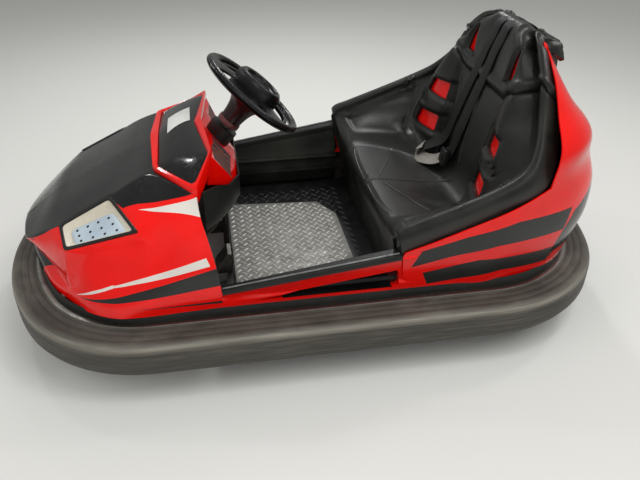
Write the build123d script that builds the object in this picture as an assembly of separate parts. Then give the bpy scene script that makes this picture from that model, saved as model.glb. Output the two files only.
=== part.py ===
"""Fairground bumper car: floor pick-up drive, two-seat bucket seat, rubber ring bumper.

Millimetres. +X points to the nose, +Y to the driver's left, +Z up.
The origin is on the floor, below the middle of the bounding box.
"""
from build123d import *
from math import atan2, cos, radians, sin, sqrt
import os

# Overall size
LENGTH = 1950.0
WIDTH = 1204.0
NOSE = LENGTH / 2
TAIL = -LENGTH / 2
SIDE = WIDTH / 2

# Bumper plan: end arcs and corner arcs, tangent to each other and to the sides
FRONT_END_RADIUS = 804.0
FRONT_CORNER_RADIUS = 431.0
REAR_END_RADIUS = 950.0
REAR_CORNER_RADIUS = 445.0

# Bumper ring and its steel seat
BUMPER_DEPTH = 98.0
BUMPER_BOTTOM = 92.0
BUMPER_FACE_BOTTOM = 128.0
BUMPER_CREASE_Z = 206.0
BUMPER_TOP = 220.0
RIM_WALL = 6.0
RIM_TOP = 226.0
RIM_FLANGE = 34.0
BODY_HALF = SIDE - BUMPER_DEPTH - RIM_WALL

# Chassis
FRAME_BOTTOM = 96.0
FRAME_TUBE_H = 30.0
FRAME_TUBE_W = 40.0
RAIL_INSET = 293.0
RAIL_Y = BODY_HALF - RAIL_INSET
PAN_THICKNESS = 4.0
TREAD_THICKNESS = 3.0
BODY_WALL = 5.0

# Drive unit under the nose
COUPLING_Z = 312.0
DRIVE_TYRE_RADIUS = 95.0
DRIVE_TYRE_WIDTH = 60.0
DRIVE_HUB_RADIUS = 58.0
AXLE_RADIUS = 10.0
RUNNING_FIT = 0.05
FORK_GAP = 10.0
FORK_PLATE = 8.0
CROWN_GAP = 7.0
MOTOR_RADIUS = 98.0
MOTOR_TOP = 302.0
MOTOR_FLANGE = 14.0
FLANGE_HEIGHT = 8.0
CARRIER_LAP = 15.0
CARRIER_RADIUS = RAIL_Y + CARRIER_LAP
CARRIER_TOP = 285.0
CARRIER_PLATE = 8.0
CARRIER_POST = 26.0
SEAT_GAP = 0.3

# Rear wheels
REAR_WHEEL_X = TAIL + 365
REAR_WHEEL_Y = BODY_HALF - 168
REAR_TYRE_RADIUS = 80.0
REAR_TYRE_WIDTH = 48.0
REAR_HUB_RADIUS = 48.0

# Steering
WHEEL_X = NOSE - 822
WHEEL_Z = 700.0
COLUMN_LEAN = 42.5
STEER_RIM_RADIUS = 164.0
STEER_GRIP_RADIUS = 14.0
STEER_HUB_RADIUS = 83.0
STEER_HUB_HEIGHT = 62.0
STEER_HUB_RAISE = 18.0
COLUMN_RADIUS = 14.0
BOOT_LENGTH = 120.0
BOOT_TOP_RADIUS = 78.0
BOOT_NECK_RADIUS = 33.0
COLLAR_RADIUS = 45.0

FLOOR_Z = FRAME_BOTTOM + FRAME_TUBE_H
PAN_TOP = FLOOR_Z + PAN_THICKNESS
HUB_BOTTOM = STEER_HUB_HEIGHT / 2 - STEER_HUB_RAISE
COLUMN_END = (WHEEL_Z - COUPLING_Z) / cos(radians(COLUMN_LEAN))
DRIVE_X = WHEEL_X + COLUMN_END * sin(radians(COLUMN_LEAN))


def wide(across):
    """A place across the car, moved with the body's width. The sections' foot stands on the rim."""
    drawn_foot = FRONT_STATIONS[0][1][0][0]
    return across * BODY_HALF / drawn_foot


def mirrored(shape):
    """The same shape on the other side of the car."""
    return mirror(shape, Plane.XZ)


def outline_points(inset):
    """Centres, radii and tangent points of the bumper plan moved in by inset."""
    half = WIDTH / 2
    ends = []
    for sign, end_r, corner_r in ((1, FRONT_END_RADIUS, FRONT_CORNER_RADIUS),
                                  (-1, REAR_END_RADIUS, REAR_CORNER_RADIUS)):
        end_c = sign * (LENGTH / 2 - end_r)
        rise = half - corner_r
        run = sqrt((end_r - corner_r) ** 2 - rise ** 2)
        angle = atan2(rise, run)
        corner_c = end_c + sign * run
        end_tangent = (end_c + sign * (end_r - inset) * cos(angle), (end_r - inset) * sin(angle))
        bow = (angle + radians(90)) / 2
        corner_mid = (corner_c + sign * (corner_r - inset) * cos(bow),
                      rise + (corner_r - inset) * sin(bow))
        ends.append((sign * (LENGTH / 2 - inset), end_tangent, corner_mid, corner_c))
    return ends, half - inset


def plan_wire(inset, z=0.0):
    """Closed plan outline of the car at height z, moved in by inset."""
    (front, rear), side = outline_points(inset)
    nose, tangent, mid, corner = front
    tail, r_tangent, r_mid, r_corner = rear
    edges = [
        ThreePointArc((tangent[0], -tangent[1]), (nose, 0), tangent),
        ThreePointArc(tangent, mid, (corner, side)),
        Line((corner, side), (r_corner, side)),
        ThreePointArc((r_corner, side), r_mid, r_tangent),
        ThreePointArc(r_tangent, (tail, 0), (r_tangent[0], -r_tangent[1])),
        ThreePointArc((r_tangent[0], -r_tangent[1]), (r_mid[0], -r_mid[1]), (r_corner, -side)),
        Line((r_corner, -side), (corner, -side)),
        ThreePointArc((corner, -side), (mid[0], -mid[1]), (tangent[0], -tangent[1])),
    ]
    return Pos(0, 0, z) * Wire(edges)


def plan_slab(inset, bottom, height):
    """Solid slab with the car's plan outline."""
    return extrude(Face(plan_wire(inset, bottom)), height, dir=(0, 0, 1))


def box_between(x, y, z):
    """Box from low and high x, y and z."""
    return Pos((x[0] + x[1]) / 2, (y[0] + y[1]) / 2, (z[0] + z[1]) / 2) * Box(
        x[1] - x[0], y[1] - y[0], z[1] - z[0])


def side_profile(points, half_width, centre_y=0.0):
    """Prism from an (x, z) polygon, extruded across the car."""
    face = Face(Wire(Polyline(*[(x, 0, z) for x, z in points], close=True)))
    return extrude(Pos(0, centre_y, 0) * face, half_width, dir=(0, 1, 0), both=True)


def plan_prism(half, bottom, top):
    """Prism between two heights from the left half of an (x, y) outline, widened with the body."""
    left = [(x, wide(y), bottom) for x, y in half]
    right = [(x, -y, z) for x, y, z in reversed(left) if y]
    face = Face(Wire(Polyline(*(left + right), close=True)))
    return extrude(face, top - bottom, dir=(0, 0, 1))


def cylinder_between(start, end, radius, inner=0.0):
    """Rod or tube from one point to another."""
    start, end = Vector(*start), Vector(*end)
    plane = Plane(origin=start, z_dir=end - start)
    profile = Circle(radius) - Circle(inner) if inner else Circle(radius)
    return extrude(plane * profile, (end - start).length)


def slab_between(top, thickness, faces):
    """Folded sheet: flat facets given by their top corners, with a wall below them."""
    drop = Vector(0, 0, -thickness)
    points = [Vector(*p) for p in top]
    low = [p + drop for p in points]
    count = {}
    for face in faces:
        for a, b in zip(face, face[1:] + face[:1]):
            count[(a, b)] = True
    skin = []
    for a, b, c in faces:
        skin.append(Face(Wire.make_polygon([points[a], points[b], points[c]])))
        skin.append(Face(Wire.make_polygon([low[a], low[c], low[b]])))
    for a, b in count:
        if (b, a) not in count:
            skin.append(Face(Wire.make_polygon([points[a], low[a], low[b], points[b]])))
    return Solid(Shell(skin))


def half_loft(stations, shrink=0.0, foot=0.0):
    """Ruled loft of symmetric sections along the car. Each station is its distance behind the nose
    and its half outline, from the foot to the middle. Shrink moves the outline in, foot lengthens it
    downward."""
    faces = []
    for place, half in stations:
        pts = []
        for i, (across, up) in enumerate(half):
            across = max(wide(across) - shrink, 0.0)
            up = up - (foot if i == 0 else shrink)
            pts.append((across, up))
        ring = pts + [(-a, u) for a, u in reversed(pts) if a > 0]
        corners = [(NOSE - place, a, u) for a, u in ring]
        faces.append(Face(Wire(Polyline(*corners, close=True))))
    return loft(faces, ruled=True)


# Bumper

def bumper_ring():
    """Rubber ring: flat top, upright striking face and rounded lower edge."""
    side = SIDE
    face = FilletPolyline(
        (0, side - BUMPER_DEPTH, BUMPER_BOTTOM),
        (0, side - BUMPER_DEPTH, BUMPER_TOP),
        (0, side - 30, BUMPER_TOP - 4),
        (0, side, BUMPER_CREASE_Z - 8),
        (0, side - 2, BUMPER_FACE_BOTTOM),
        (0, side - 34, BUMPER_BOTTOM),
        radius=6, close=True)
    path = plan_wire(0, BUMPER_BOTTOM)
    return sweep(Face(Wire(face)), path=path)


def bumper_rim():
    """Steel ring that the rubber is clamped to, with a flange under the chassis."""
    wall = plan_slab(BUMPER_DEPTH, FRAME_BOTTOM, RIM_TOP - FRAME_BOTTOM)
    wall -= plan_slab(BUMPER_DEPTH + RIM_WALL, FRAME_BOTTOM - 1, RIM_TOP - FRAME_BOTTOM + 2)
    flange = plan_slab(BUMPER_DEPTH, FRAME_BOTTOM - RIM_WALL, RIM_WALL)
    flange -= plan_slab(BUMPER_DEPTH + RIM_FLANGE, FRAME_BOTTOM - RIM_WALL - 1, RIM_WALL + 2)
    return wall + flange


# Chassis

CROSS_MEMBERS = (NOSE - 713, NOSE - 285, TAIL + 725, TAIL + 215)


def chassis_frame():
    """Two rails along the car and cross members, ending on the rim."""
    z = (FRAME_BOTTOM, FLOOR_Z)
    frame = None
    for side in (-1, 1):
        rail = box_between((-LENGTH / 2, LENGTH / 2),
                           (side * RAIL_Y - FRAME_TUBE_W / 2, side * RAIL_Y + FRAME_TUBE_W / 2), z)
        frame = rail if frame is None else frame + rail
    for x in CROSS_MEMBERS:
        frame += box_between((x - FRAME_TUBE_W / 2, x + FRAME_TUBE_W / 2),
                             (-WIDTH / 2, WIDTH / 2), z)
    return frame & plan_slab(BUMPER_DEPTH + RIM_WALL, FRAME_BOTTOM, FRAME_TUBE_H)


PAN_FRONT = NOSE - 645
PAN_REAR = TAIL + 645


def floor_pan():
    """Black floor sheet between the rims."""
    pan = plan_slab(BUMPER_DEPTH + RIM_WALL, FLOOR_Z, PAN_THICKNESS)
    return pan & box_between((PAN_REAR, PAN_FRONT), (-WIDTH, WIDTH), (0, PAN_TOP))


TREAD_FRONT = NOSE - 719
TREAD_REAR = TAIL + 821
TREAD_HALF = ((TREAD_FRONT, 0), (TREAD_FRONT, 318), (TREAD_FRONT - 16, 334), (TREAD_REAR + 59, 334),
              (TREAD_REAR, 250), (TREAD_REAR, 0))


def tread_plate():
    """Bright tread plate for the feet, its rear corners cut off."""
    return plan_prism(TREAD_HALF, PAN_TOP, PAN_TOP + TREAD_THICKNESS)


# Front body: half sections as (y, z) from the foot on the rim to the centre line, each at its
# distance behind the nose. Columns: foot, low crease, side, shoulder, lamp line, hood edge, centre

FRONT_STATIONS = (
    (685.0, ((498, 226), (507, 290), (500, 378), (466, 455), (425, 502), (372, 547), (0, 572))),
    (565.0, ((498, 226), (508, 288), (497, 365), (464, 440), (420, 492), (310, 556), (0, 571))),
    (435.0, ((498, 226), (504, 283), (484, 340), (448, 400), (412, 464), (252, 541), (0, 547))),
    (295.0, ((450, 226), (448, 277), (428, 315), (400, 360), (374, 420), (266, 468), (0, 483))),
    (224.0, ((370, 226), (366, 272), (356, 293), (350, 330), (352, 388), (270, 431), (0, 447))),
    (169.0, ((286, 226), (284, 268), (272, 290), (284, 318), (276, 362), (232, 398), (0, 421))),
    (110.0, ((156, 232), (154, 266), (146, 290), (154, 314), (164, 334), (168, 352), (0, 382))),
    (72.0, ((62, 246), (60, 266), (58, 290), (62, 310), (70, 326), (74, 338), (0, 350))),
)
HOOD_BOTTOM = 332.0
HOOD_HALF = ((NOSE, 0), (NOSE, 60), (NOSE - 67, 84), (NOSE - 91, 174), (NOSE - 169, 237), (NOSE - 224, 272),
             (NOSE - 376, 264), (NOSE - 415, 322), (NOSE - 623, 364), (NOSE - 715, 364), (NOSE - 715, 0))
REAR_EDGE = ((NOSE - 775, 150), (NOSE - 675, 150), (NOSE - 675, 300), (NOSE - 621, 560), (NOSE - 615, 640),
             (NOSE - 775, 640))


def front_shell():
    """Whole front moulding, hollow and open below."""
    inner = list(FRONT_STATIONS)
    inner[0] = (inner[0][0] + BODY_WALL, inner[0][1])
    tip, half = inner[-1]
    inner[-1] = (tip + BODY_WALL, half)
    shell = half_loft(FRONT_STATIONS) - half_loft(inner, BODY_WALL, 30.0)
    return shell - side_profile(REAR_EDGE, WIDTH)


def hood_cutter():
    """Upright prism over the black top panel."""
    return plan_prism(HOOD_HALF, HOOD_BOTTOM, WIDTH)


# Headlamps: corners A B C D of the left lamp on the body surface

LAMP_CORNERS = ((NOSE - 376, 260, 506), (NOSE - 456, 420, 474), (NOSE - 244, 360, 402),
                (NOSE - 224, 270, 431))
LAMP_DEPTH = 26.0


def lamp_pieces():
    """Left headlamp: a frame let into the body and its lens plate."""
    a, b, c, d = [Vector(x, wide(y), z) for x, y, z in LAMP_CORNERS]
    centre = (a + b + c + d) * 0.25
    normal = (b - a).cross(d - a).normalized()
    if normal.Z < 0:
        normal = normal * -1
    flat = [p - normal * (p - centre).dot(normal) for p in (a, b, c, d)]

    def plate(scale, low, high):
        corners = [centre + (p - centre) * scale + normal * low for p in flat]
        return extrude(Face(Wire.make_polygon(corners)), high - low, dir=normal)

    block = plate(1.0, 6 - LAMP_DEPTH, 6.0)
    frame = block - plate(0.9, -8, 7)
    lens = plate(0.9, -8, 3)
    return block, frame, lens


# Fairing on the hood: corners of the left half

FAIRING_POINTS = ((NOSE - 485, 0, 585), (NOSE - 505, 228, 574), (NOSE - 623, 372, 560),
                  (NOSE - 676, 262, 628), (NOSE - 653, 0, 628))
FAIRING_FACETS = ((0, 1, 4), (1, 3, 4), (1, 2, 3), (0, 4, 5), (5, 4, 7), (5, 7, 6))
FAIRING_MIDDLE = (NOSE - 575, 0.0, 604.0)
FAIRING_WALL = 34.0
FAIRING_RIM_SHARE = 0.1
PANEL_SINK = 3.0


def facet_height(corners, x, y):
    """Height of the plane through three corners at (x, y)."""
    plane = Plane(origin=corners[0], z_dir=(Vector(*corners[1]) - Vector(*corners[0])).cross(
        Vector(*corners[2]) - Vector(*corners[0])))
    n = plane.z_dir
    return corners[0][2] - (n.X * (x - corners[0][0]) + n.Y * (y - corners[0][1])) / n.Z


def fairing_pieces(body):
    """Raised instrument fairing: red rim round a black panel, trimmed to the hood below it."""
    left = [(x, wide(y), z) for x, y, z in FAIRING_POINTS]
    pts = left + [(x, -y, z) for x, y, z in left[1:4]]
    block = slab_between(pts, FAIRING_WALL, FAIRING_FACETS) - body
    inner = [tuple(m + (v - m) * (1 - FAIRING_RIM_SHARE) for v, m in zip(p, FAIRING_MIDDLE)) for p in pts]
    core = slab_between([(x, y, z + 8) for x, y, z in inner], FAIRING_WALL + 60, FAIRING_FACETS)
    panel = slab_between([(x, y, z - PANEL_SINK) for x, y, z in inner], 4.0, FAIRING_FACETS)
    return block - core, panel - body


# Dash console and its lower cover, parted by a sloping plane

CONSOLE_X = (NOSE - 753, NOSE - 657)
CONSOLE_HALF_WIDTH = 252.0
CONSOLE_REAR = ((0, 512), (45, 497), (150, 462), (140, 395), (0, 395))
CONSOLE_PARTING = ((NOSE - 825, 452), (NOSE - 753, 452), (NOSE - 657, 514), (NOSE - 635, 514),
                   (NOSE - 635, 300), (NOSE - 825, 300))


def dash_pieces():
    """Red V-shaped dash under the fairing, and the black cover below it."""
    rear_x, front_x = CONSOLE_X
    centre, wing, tip, rim = [FAIRING_POINTS[i] for i in (4, 1, 3, 4)]
    front = []
    for y in (0.0, CONSOLE_HALF_WIDTH / 2, CONSOLE_HALF_WIDTH):
        z = facet_height((wing, tip, rim), front_x, y) - FAIRING_WALL - SEAT_GAP
        front.append((y, z))
    front += [(CONSOLE_HALF_WIDTH - 30, 400), (0, 400)]
    rings = []
    for x, half in ((rear_x, CONSOLE_REAR), (front_x, front)):
        left = [(x, wide(y), z) for y, z in half]
        ring = left + [(x, -y, z) for x, y, z in reversed(left) if y]
        rings.append(Face(Wire(Polyline(*ring, close=True))))
    block = loft(rings, ruled=True)
    block -= cylinder_between(column_point(100), column_point(COLUMN_END), COLUMN_RADIUS + 8)
    below = side_profile(CONSOLE_PARTING, WIDTH)
    return block - below, block & below


def column_point(along):
    """Point on the steering axis, measured down from the wheel's centre."""
    lean = radians(COLUMN_LEAN)
    return (WHEEL_X + along * sin(lean), 0.0, WHEEL_Z - along * cos(lean))


def column_plane(along):
    """Plane square to the steering axis, its z pointing up at the driver."""
    lean = radians(COLUMN_LEAN)
    return Plane(origin=column_point(along), x_dir=(cos(lean), 0, sin(lean)),
                 z_dir=(-sin(lean), 0, cos(lean)))


def steering_wheel():
    """Grip ring with three spokes."""
    plane = column_plane(0)
    wheel = plane * Torus(STEER_RIM_RADIUS, STEER_GRIP_RADIUS)
    length = STEER_RIM_RADIUS - STEER_HUB_RADIUS + 8
    for turn in (0, 120, 240):
        spoke = Pos(STEER_HUB_RADIUS - 4 + length / 2, 0, -2) * Box(length, 34, 7)
        wheel += plane * (Rot(0, 0, turn) * spoke)
    return wheel - column_plane(0) * Cylinder(STEER_HUB_RADIUS, 120)


def steering_hub():
    """Thick padded hub."""
    hub = column_plane(0) * Pos(0, 0, STEER_HUB_RAISE) * Cylinder(STEER_HUB_RADIUS, STEER_HUB_HEIGHT)
    return fillet(hub.edges().filter_by(GeomType.CIRCLE), 8)


def steering_boot():
    """Trumpet shaped boot under the hub."""
    end = HUB_BOTTOM + BOOT_LENGTH
    flare = (BOOT_NECK_RADIUS + 11, -HUB_BOTTOM - BOOT_LENGTH * 0.42)
    profile = Wire([
        Line((COLUMN_RADIUS, -HUB_BOTTOM), (BOOT_TOP_RADIUS, -HUB_BOTTOM)),
        ThreePointArc((BOOT_TOP_RADIUS, -HUB_BOTTOM), flare, (BOOT_NECK_RADIUS, -end)),
        Line((BOOT_NECK_RADIUS, -end), (COLUMN_RADIUS, -end)),
        Line((COLUMN_RADIUS, -end), (COLUMN_RADIUS, -HUB_BOTTOM)),
    ])
    turned = revolve(Plane.XZ * Face(profile), Axis.Z)
    return column_plane(0) * turned


COLLAR_ZONE = ((NOSE - 825, 480), (NOSE - 657, 560), (NOSE - 657, 640), (NOSE - 825, 640))


def build_steering(console):
    """Wheel, hub, boot and column, and the collar on the console that carries them."""
    collar_start = HUB_BOTTOM + BOOT_LENGTH + 6
    collar = cylinder_between(column_point(collar_start), column_point(collar_start + 90),
                              COLLAR_RADIUS, COLUMN_RADIUS + RUNNING_FIT)
    collar = (collar - console) & side_profile(COLLAR_ZONE, COLLAR_RADIUS * 2)
    return {
        "steering_wheel": steering_wheel(),
        "steering_hub": steering_hub(),
        "steering_boot": steering_boot(),
        "steering_column": cylinder_between(column_point(HUB_BOTTOM), column_point(COLUMN_END), COLUMN_RADIUS),
        "column_collar": collar,
    }


# Sides

SIDE_PANEL_FRONT = NOSE - 675
SIDE_PANEL_REAR = TAIL + 725
SIDE_TOP = (300.0, 378.0)
SLOT_SHARE = 0.527


def side_share(x):
    """How far x lies back along the side panel, from 0 at its front to 1 at its rear."""
    return (SIDE_PANEL_FRONT - x) / (SIDE_PANEL_FRONT - SIDE_PANEL_REAR)


def side_panel():
    """Left red side between the front and rear bodies, with its long recess."""
    front_top, rear_top = SIDE_TOP
    front = ((498, 226), (506, 286), (512, front_top), (484, front_top), (484, 226))
    rear = ((498, 226), (512, 300), (533, rear_top), (484, rear_top), (484, 226))
    rings = []
    for x, pts in ((SIDE_PANEL_FRONT, front), (SIDE_PANEL_REAR, rear)):
        rings.append(Face(Wire(Polyline(*[(x, wide(y), z) for y, z in pts], close=True))))
    panel = loft(rings, ruled=True)
    return panel - side_slot()


def side_slot():
    """Cutter of the tapering recess in the side."""
    rear = SIDE_PANEL_REAR
    tip = rear + SLOT_SHARE * (SIDE_PANEL_FRONT - rear)
    outline = ((tip, 262), (rear + 60, 308), (rear + 28, 300), (rear + 24, 268), (rear + 38, 262))
    face = Face(Wire(Polyline(*[(x, wide(496), z) for x, z in outline], close=True)))
    return extrude(face, 60, dir=(0, 1, 0))


def sill_trim():
    """Black cap along the top of the left side."""
    rings = []
    front_top, rear_top = SIDE_TOP
    for x, y in ((SIDE_PANEL_FRONT, 513), (SIDE_PANEL_REAR + 45, 532)):
        z = front_top + (rear_top - front_top) * side_share(x) + SEAT_GAP
        pts = ((484, z), (y, z), (y, z + 12), (484, z + 12))
        rings.append(Face(Wire(Polyline(*[(x, wide(a), b) for a, b in pts], close=True))))
    return loft(rings, ruled=True)


def inner_sill():
    """Left inner wall with its two ledges."""
    x = (TAIL + 771, NOSE - 693)
    outer = wide(484)
    wall = box_between(x, (outer - 6, outer), (PAN_TOP, 300))
    low = box_between(x, (outer - 38, outer - 6), (200, 206))
    high = box_between(x, (outer - 48, outer - 6), (256, 262))
    return wall + low + high


# Seat

SEAT_FOOT = (TAIL + 442, 327.0)
SEAT_LEAN = 11.9


def seat_plane(along, out=0.0):
    """Plane of the backrest: local x across the car, y up the backrest, z forward."""
    lean = radians(SEAT_LEAN)
    x = SEAT_FOOT[0] - along * sin(lean) + out * cos(lean)
    z = SEAT_FOOT[1] + along * cos(lean) + out * sin(lean)
    return Plane(origin=(x, 0, z), x_dir=(0, 1, 0), z_dir=(cos(lean), 0, sin(lean)))


BACK_HALF = ((350, -60), (352, 120), (510, 262), (500, 290), (340, 430), (0, 430))
HEADREST_HALF = ((336, 432), (300, 500), (205, 562), (166, 580), (110, 586), (0, 588))
HEADREST_FRONT = 10.0
HEADREST_TOP = 588.0
BACK_THICKNESS = 62.0


def back_plate(half, low, high):
    """Plate with a symmetric outline in the plane of the backrest."""
    left = [(wide(y), s) for y, s in half]
    ring = left + [(-y, s) for y, s in reversed(left) if y]
    face = Face(Wire(Polyline(*ring, close=True)))
    return extrude(seat_plane(0, low) * face, high - low)


WINDOWS = ((250, 135), (250, 275))


def seat_back():
    """Backrest shell with two openings on each side."""
    back = back_plate(BACK_HALF, -BACK_THICKNESS, 0)
    for y, along in WINDOWS:
        for side in (-1, 1):
            back -= extrude(seat_plane(0, -BACK_THICKNESS - 5) * Pos(side * wide(y), along) * Rectangle(46, 74),
                            BACK_THICKNESS + 10)
    return back


def headrest():
    """Headrest above the groove, a slot on each side."""
    rest = back_plate(HEADREST_HALF, -BACK_THICKNESS, HEADREST_FRONT)
    for side in (-1, 1):
        rest -= extrude(seat_plane(0, -BACK_THICKNESS - 30) * Pos(side * wide(150), 470) * Rectangle(22, 90),
                        BACK_THICKNESS + 90)
    return rest


SEAT_HALF = 348.0
SEAT_FOOT_Z = PAN_TOP
SEAT_BASE_Z = 190.0
SEAT_BACK_X = TAIL + 415
CUSHION_SIDE = ((TAIL + 743, SEAT_FOOT_Z), (TAIL + 763, 330), (TAIL + 743, 362), (TAIL + 451, 327),
                (SEAT_BACK_X, 320), (SEAT_BACK_X, SEAT_BASE_Z), (TAIL + 645, SEAT_BASE_Z),
                (TAIL + 645, SEAT_FOOT_Z))
BOLSTER_REST = ((TAIL + 785, 392), (TAIL + 769, 452), (TAIL + 630, 506), (TAIL + 452, 572),
                (SEAT_BACK_X, 586), (SEAT_BACK_X, 513.3))
BOLSTER_FOOT = ((TAIL + 769, 300), (TAIL + 749, SEAT_FOOT_Z), (TAIL + 645, SEAT_FOOT_Z),
                (TAIL + 645, SEAT_BASE_Z), (TAIL + 475, SEAT_BASE_Z), (TAIL + 475, 560), (TAIL + 630, 502),
                (TAIL + 765, 448), (TAIL + 781, 392))
BOLSTER_FOOT_Y = 440.0
BOLSTER_REST_Y = 530.0
BOLSTER_ROLL = 62.0


def seat_cushion(back):
    """Seat pad between the bolsters, its front coming down to the floor."""
    return side_profile(CUSHION_SIDE, wide(SEAT_HALF)) - back


def seat_hollow():
    """Cutter that slopes the left bolster's inner side from the cushion up to its roll."""
    rings = []
    inner, roll = wide(SEAT_HALF), wide(BOLSTER_REST_Y - BOLSTER_ROLL)
    for x, low, high in ((TAIL + 790, 362, 480), (SEAT_BACK_X - 10, 330, 606)):
        corners = ((x, inner - 1, low), (x, roll, high), (x, inner - 1, high))
        rings.append(Face(Wire(Polyline(*corners, close=True))))
    return loft(rings, ruled=True)


def seat_bolster(back):
    """Left arm of the seat, rising to the backrest, with its foot on the floor."""
    inner, outer, foot_y = wide(SEAT_HALF), wide(BOLSTER_REST_Y), wide(BOLSTER_FOOT_Y)
    rest = side_profile(BOLSTER_REST, (outer - inner) / 2, (outer + inner) / 2)
    foot = side_profile(BOLSTER_FOOT, (foot_y - inner) / 2, (foot_y + inner) / 2)
    return rest + foot - back - seat_hollow()


# Rear body: at each height a half plan as (y, distance ahead of the tail), from the front end of the
# side to the centre line

REAR_STATIONS = (
    (226.0, ((498, 735), (498, 475), (446, 285), (338, 170), (170, 111), (0, 95))),
    (400.0, ((530, 795), (528, 455), (458, 233), (334, 113), (170, 75), (0, 69))),
    (560.0, ((530, 675), (512, 375), (440, 235), (312, 125), (160, 87), (0, 81))),
    (640.0, ((510, 555), (468, 335), (400, 235), (298, 163), (150, 129), (0, 123))),
    (710.0, ((430, 475), (395, 325), (345, 255), (272, 209), (140, 183), (0, 177))),
    (850.0, ((290, 355), (268, 300), (245, 277), (205, 261), (110, 247), (0, 243))),
)
ARM_LINE = ((TAIL + 875, 391), (TAIL + 789, 391), (TAIL + 335, 539.5))


def rear_solid(shrink=0.0, top_drop=0.0, foot=0.0):
    """Filled rear moulding. Shrink moves its walls in."""
    faces = []
    for i, (z, half) in enumerate(REAR_STATIONS):
        if i == 0:
            z = z - foot
        if i == len(REAR_STATIONS) - 1:
            z = z - top_drop
        pts = [(wide(half[0][0]) - shrink, 0)]
        pts += [(wide(y) - shrink if y else 0, TAIL + x + shrink) for y, x in half]
        ring = pts + [(-y, x) for y, x in reversed(pts) if y]
        faces.append(Face(Wire(Polyline(*[(x, y, z) for y, x in ring], close=True))))
    return loft(faces, ruled=True)


def rear_shell():
    """Rear moulding behind and beside the seat, hollow."""
    shell = rear_solid() - rear_solid(BODY_WALL, BODY_WALL, 30.0)
    behind = seat_plane(0, -BACK_THICKNESS - SEAT_GAP).origin
    top = seat_plane(700, -BACK_THICKNESS - SEAT_GAP).origin
    lean = (top.X - behind.X) / (top.Z - behind.Z)
    arm_x, arm_z = ARM_LINE[-1]
    line = list(ARM_LINE) + [
        (arm_x - 6, arm_z + 24),
        (behind.X + lean * (arm_z + 60 - behind.Z), arm_z + 60),
        (top.X, top.Z), (0, top.Z)]
    front = box_between((SIDE_PANEL_REAR, NOSE), (-WIDTH, WIDTH), (0, WIDTH))
    return shell - side_profile(line, WIDTH) - front


TAIL_PANEL = ((TAIL - 25, 330), (TAIL + 185, 330), (TAIL + 145, 470), (TAIL - 25, 590))


# Belts

STRAP_WIDTH = 46.0
STRAP_THICKNESS = 3.0
STRAP_Y = 27.0
STRAP_PATH = ((18.6, 60), (18.6, 84), (12, 300), (HEADREST_FRONT + SEAT_GAP, 440),
              (HEADREST_FRONT + SEAT_GAP, HEADREST_TOP + SEAT_GAP), (-66, HEADREST_TOP + SEAT_GAP),
              (-110, 560))


def on_seat(out, along):
    """Point (x, z) at a distance in front of the backrest and up along it."""
    origin = seat_plane(along, out).origin
    return origin.X, origin.Z


def seat_belts(bracket):
    """Two straps over the headrest and down the backrest, ending on the bracket."""
    lower = [on_seat(out, along) for out, along in STRAP_PATH]
    upper = []
    for i, (out, along) in enumerate(STRAP_PATH):
        rise = STRAP_THICKNESS if i > 3 else 0
        ahead = STRAP_THICKNESS if i < 5 else 0
        upper.append(on_seat(out + ahead, along + rise))
    outline = lower + upper[::-1]
    straps = None
    for y in (-STRAP_Y, STRAP_Y):
        run = side_profile(outline, STRAP_WIDTH / 2, y)
        straps = run if straps is None else straps + run
    return straps - bracket


def belt_buckle():
    """Buckle at the lower end of the straps, lying on the backrest."""
    plane = seat_plane(40, 0.3)
    return extrude(plane * Pos(0, 10) * Rectangle(58, 60), 18)


BRACKET_SIDE = ((TAIL + 335, 872), (TAIL + 259, 880), (TAIL + 175, 848), (TAIL + 129, 804),
                (TAIL + 129, 706), (TAIL + 335, 706))
BRACKET_HALF = 62.0


def belt_bracket(rear):
    """Anchor block on top of the rear body, behind the headrest."""
    block = side_profile(BRACKET_SIDE, BRACKET_HALF)
    behind = back_plate(((200, 100), (200, 700), (0, 700)), -400, -BACK_THICKNESS)
    return (block & behind) - rear


# Running gear

def tyre(radius, hub_radius, width, x, y):
    """Solid rubber tyre with rounded shoulders."""
    ring = Cylinder(radius, width) - Cylinder(hub_radius, width)
    ring = fillet(ring.edges().filter_by(GeomType.CIRCLE).sort_by(SortBy.RADIUS)[-2:], 9)
    return Pos(x, y, radius) * Rot(90, 0, 0) * ring


def hub(radius, hub_radius, width, x, y):
    """Cast hub with a bore for the axle."""
    body = Cylinder(hub_radius, width * 0.62) + Cylinder(AXLE_RADIUS * 2.2, width)
    body -= Cylinder(AXLE_RADIUS + RUNNING_FIT, width * 2)
    return Pos(x, y, radius) * Rot(90, 0, 0) * body


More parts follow.
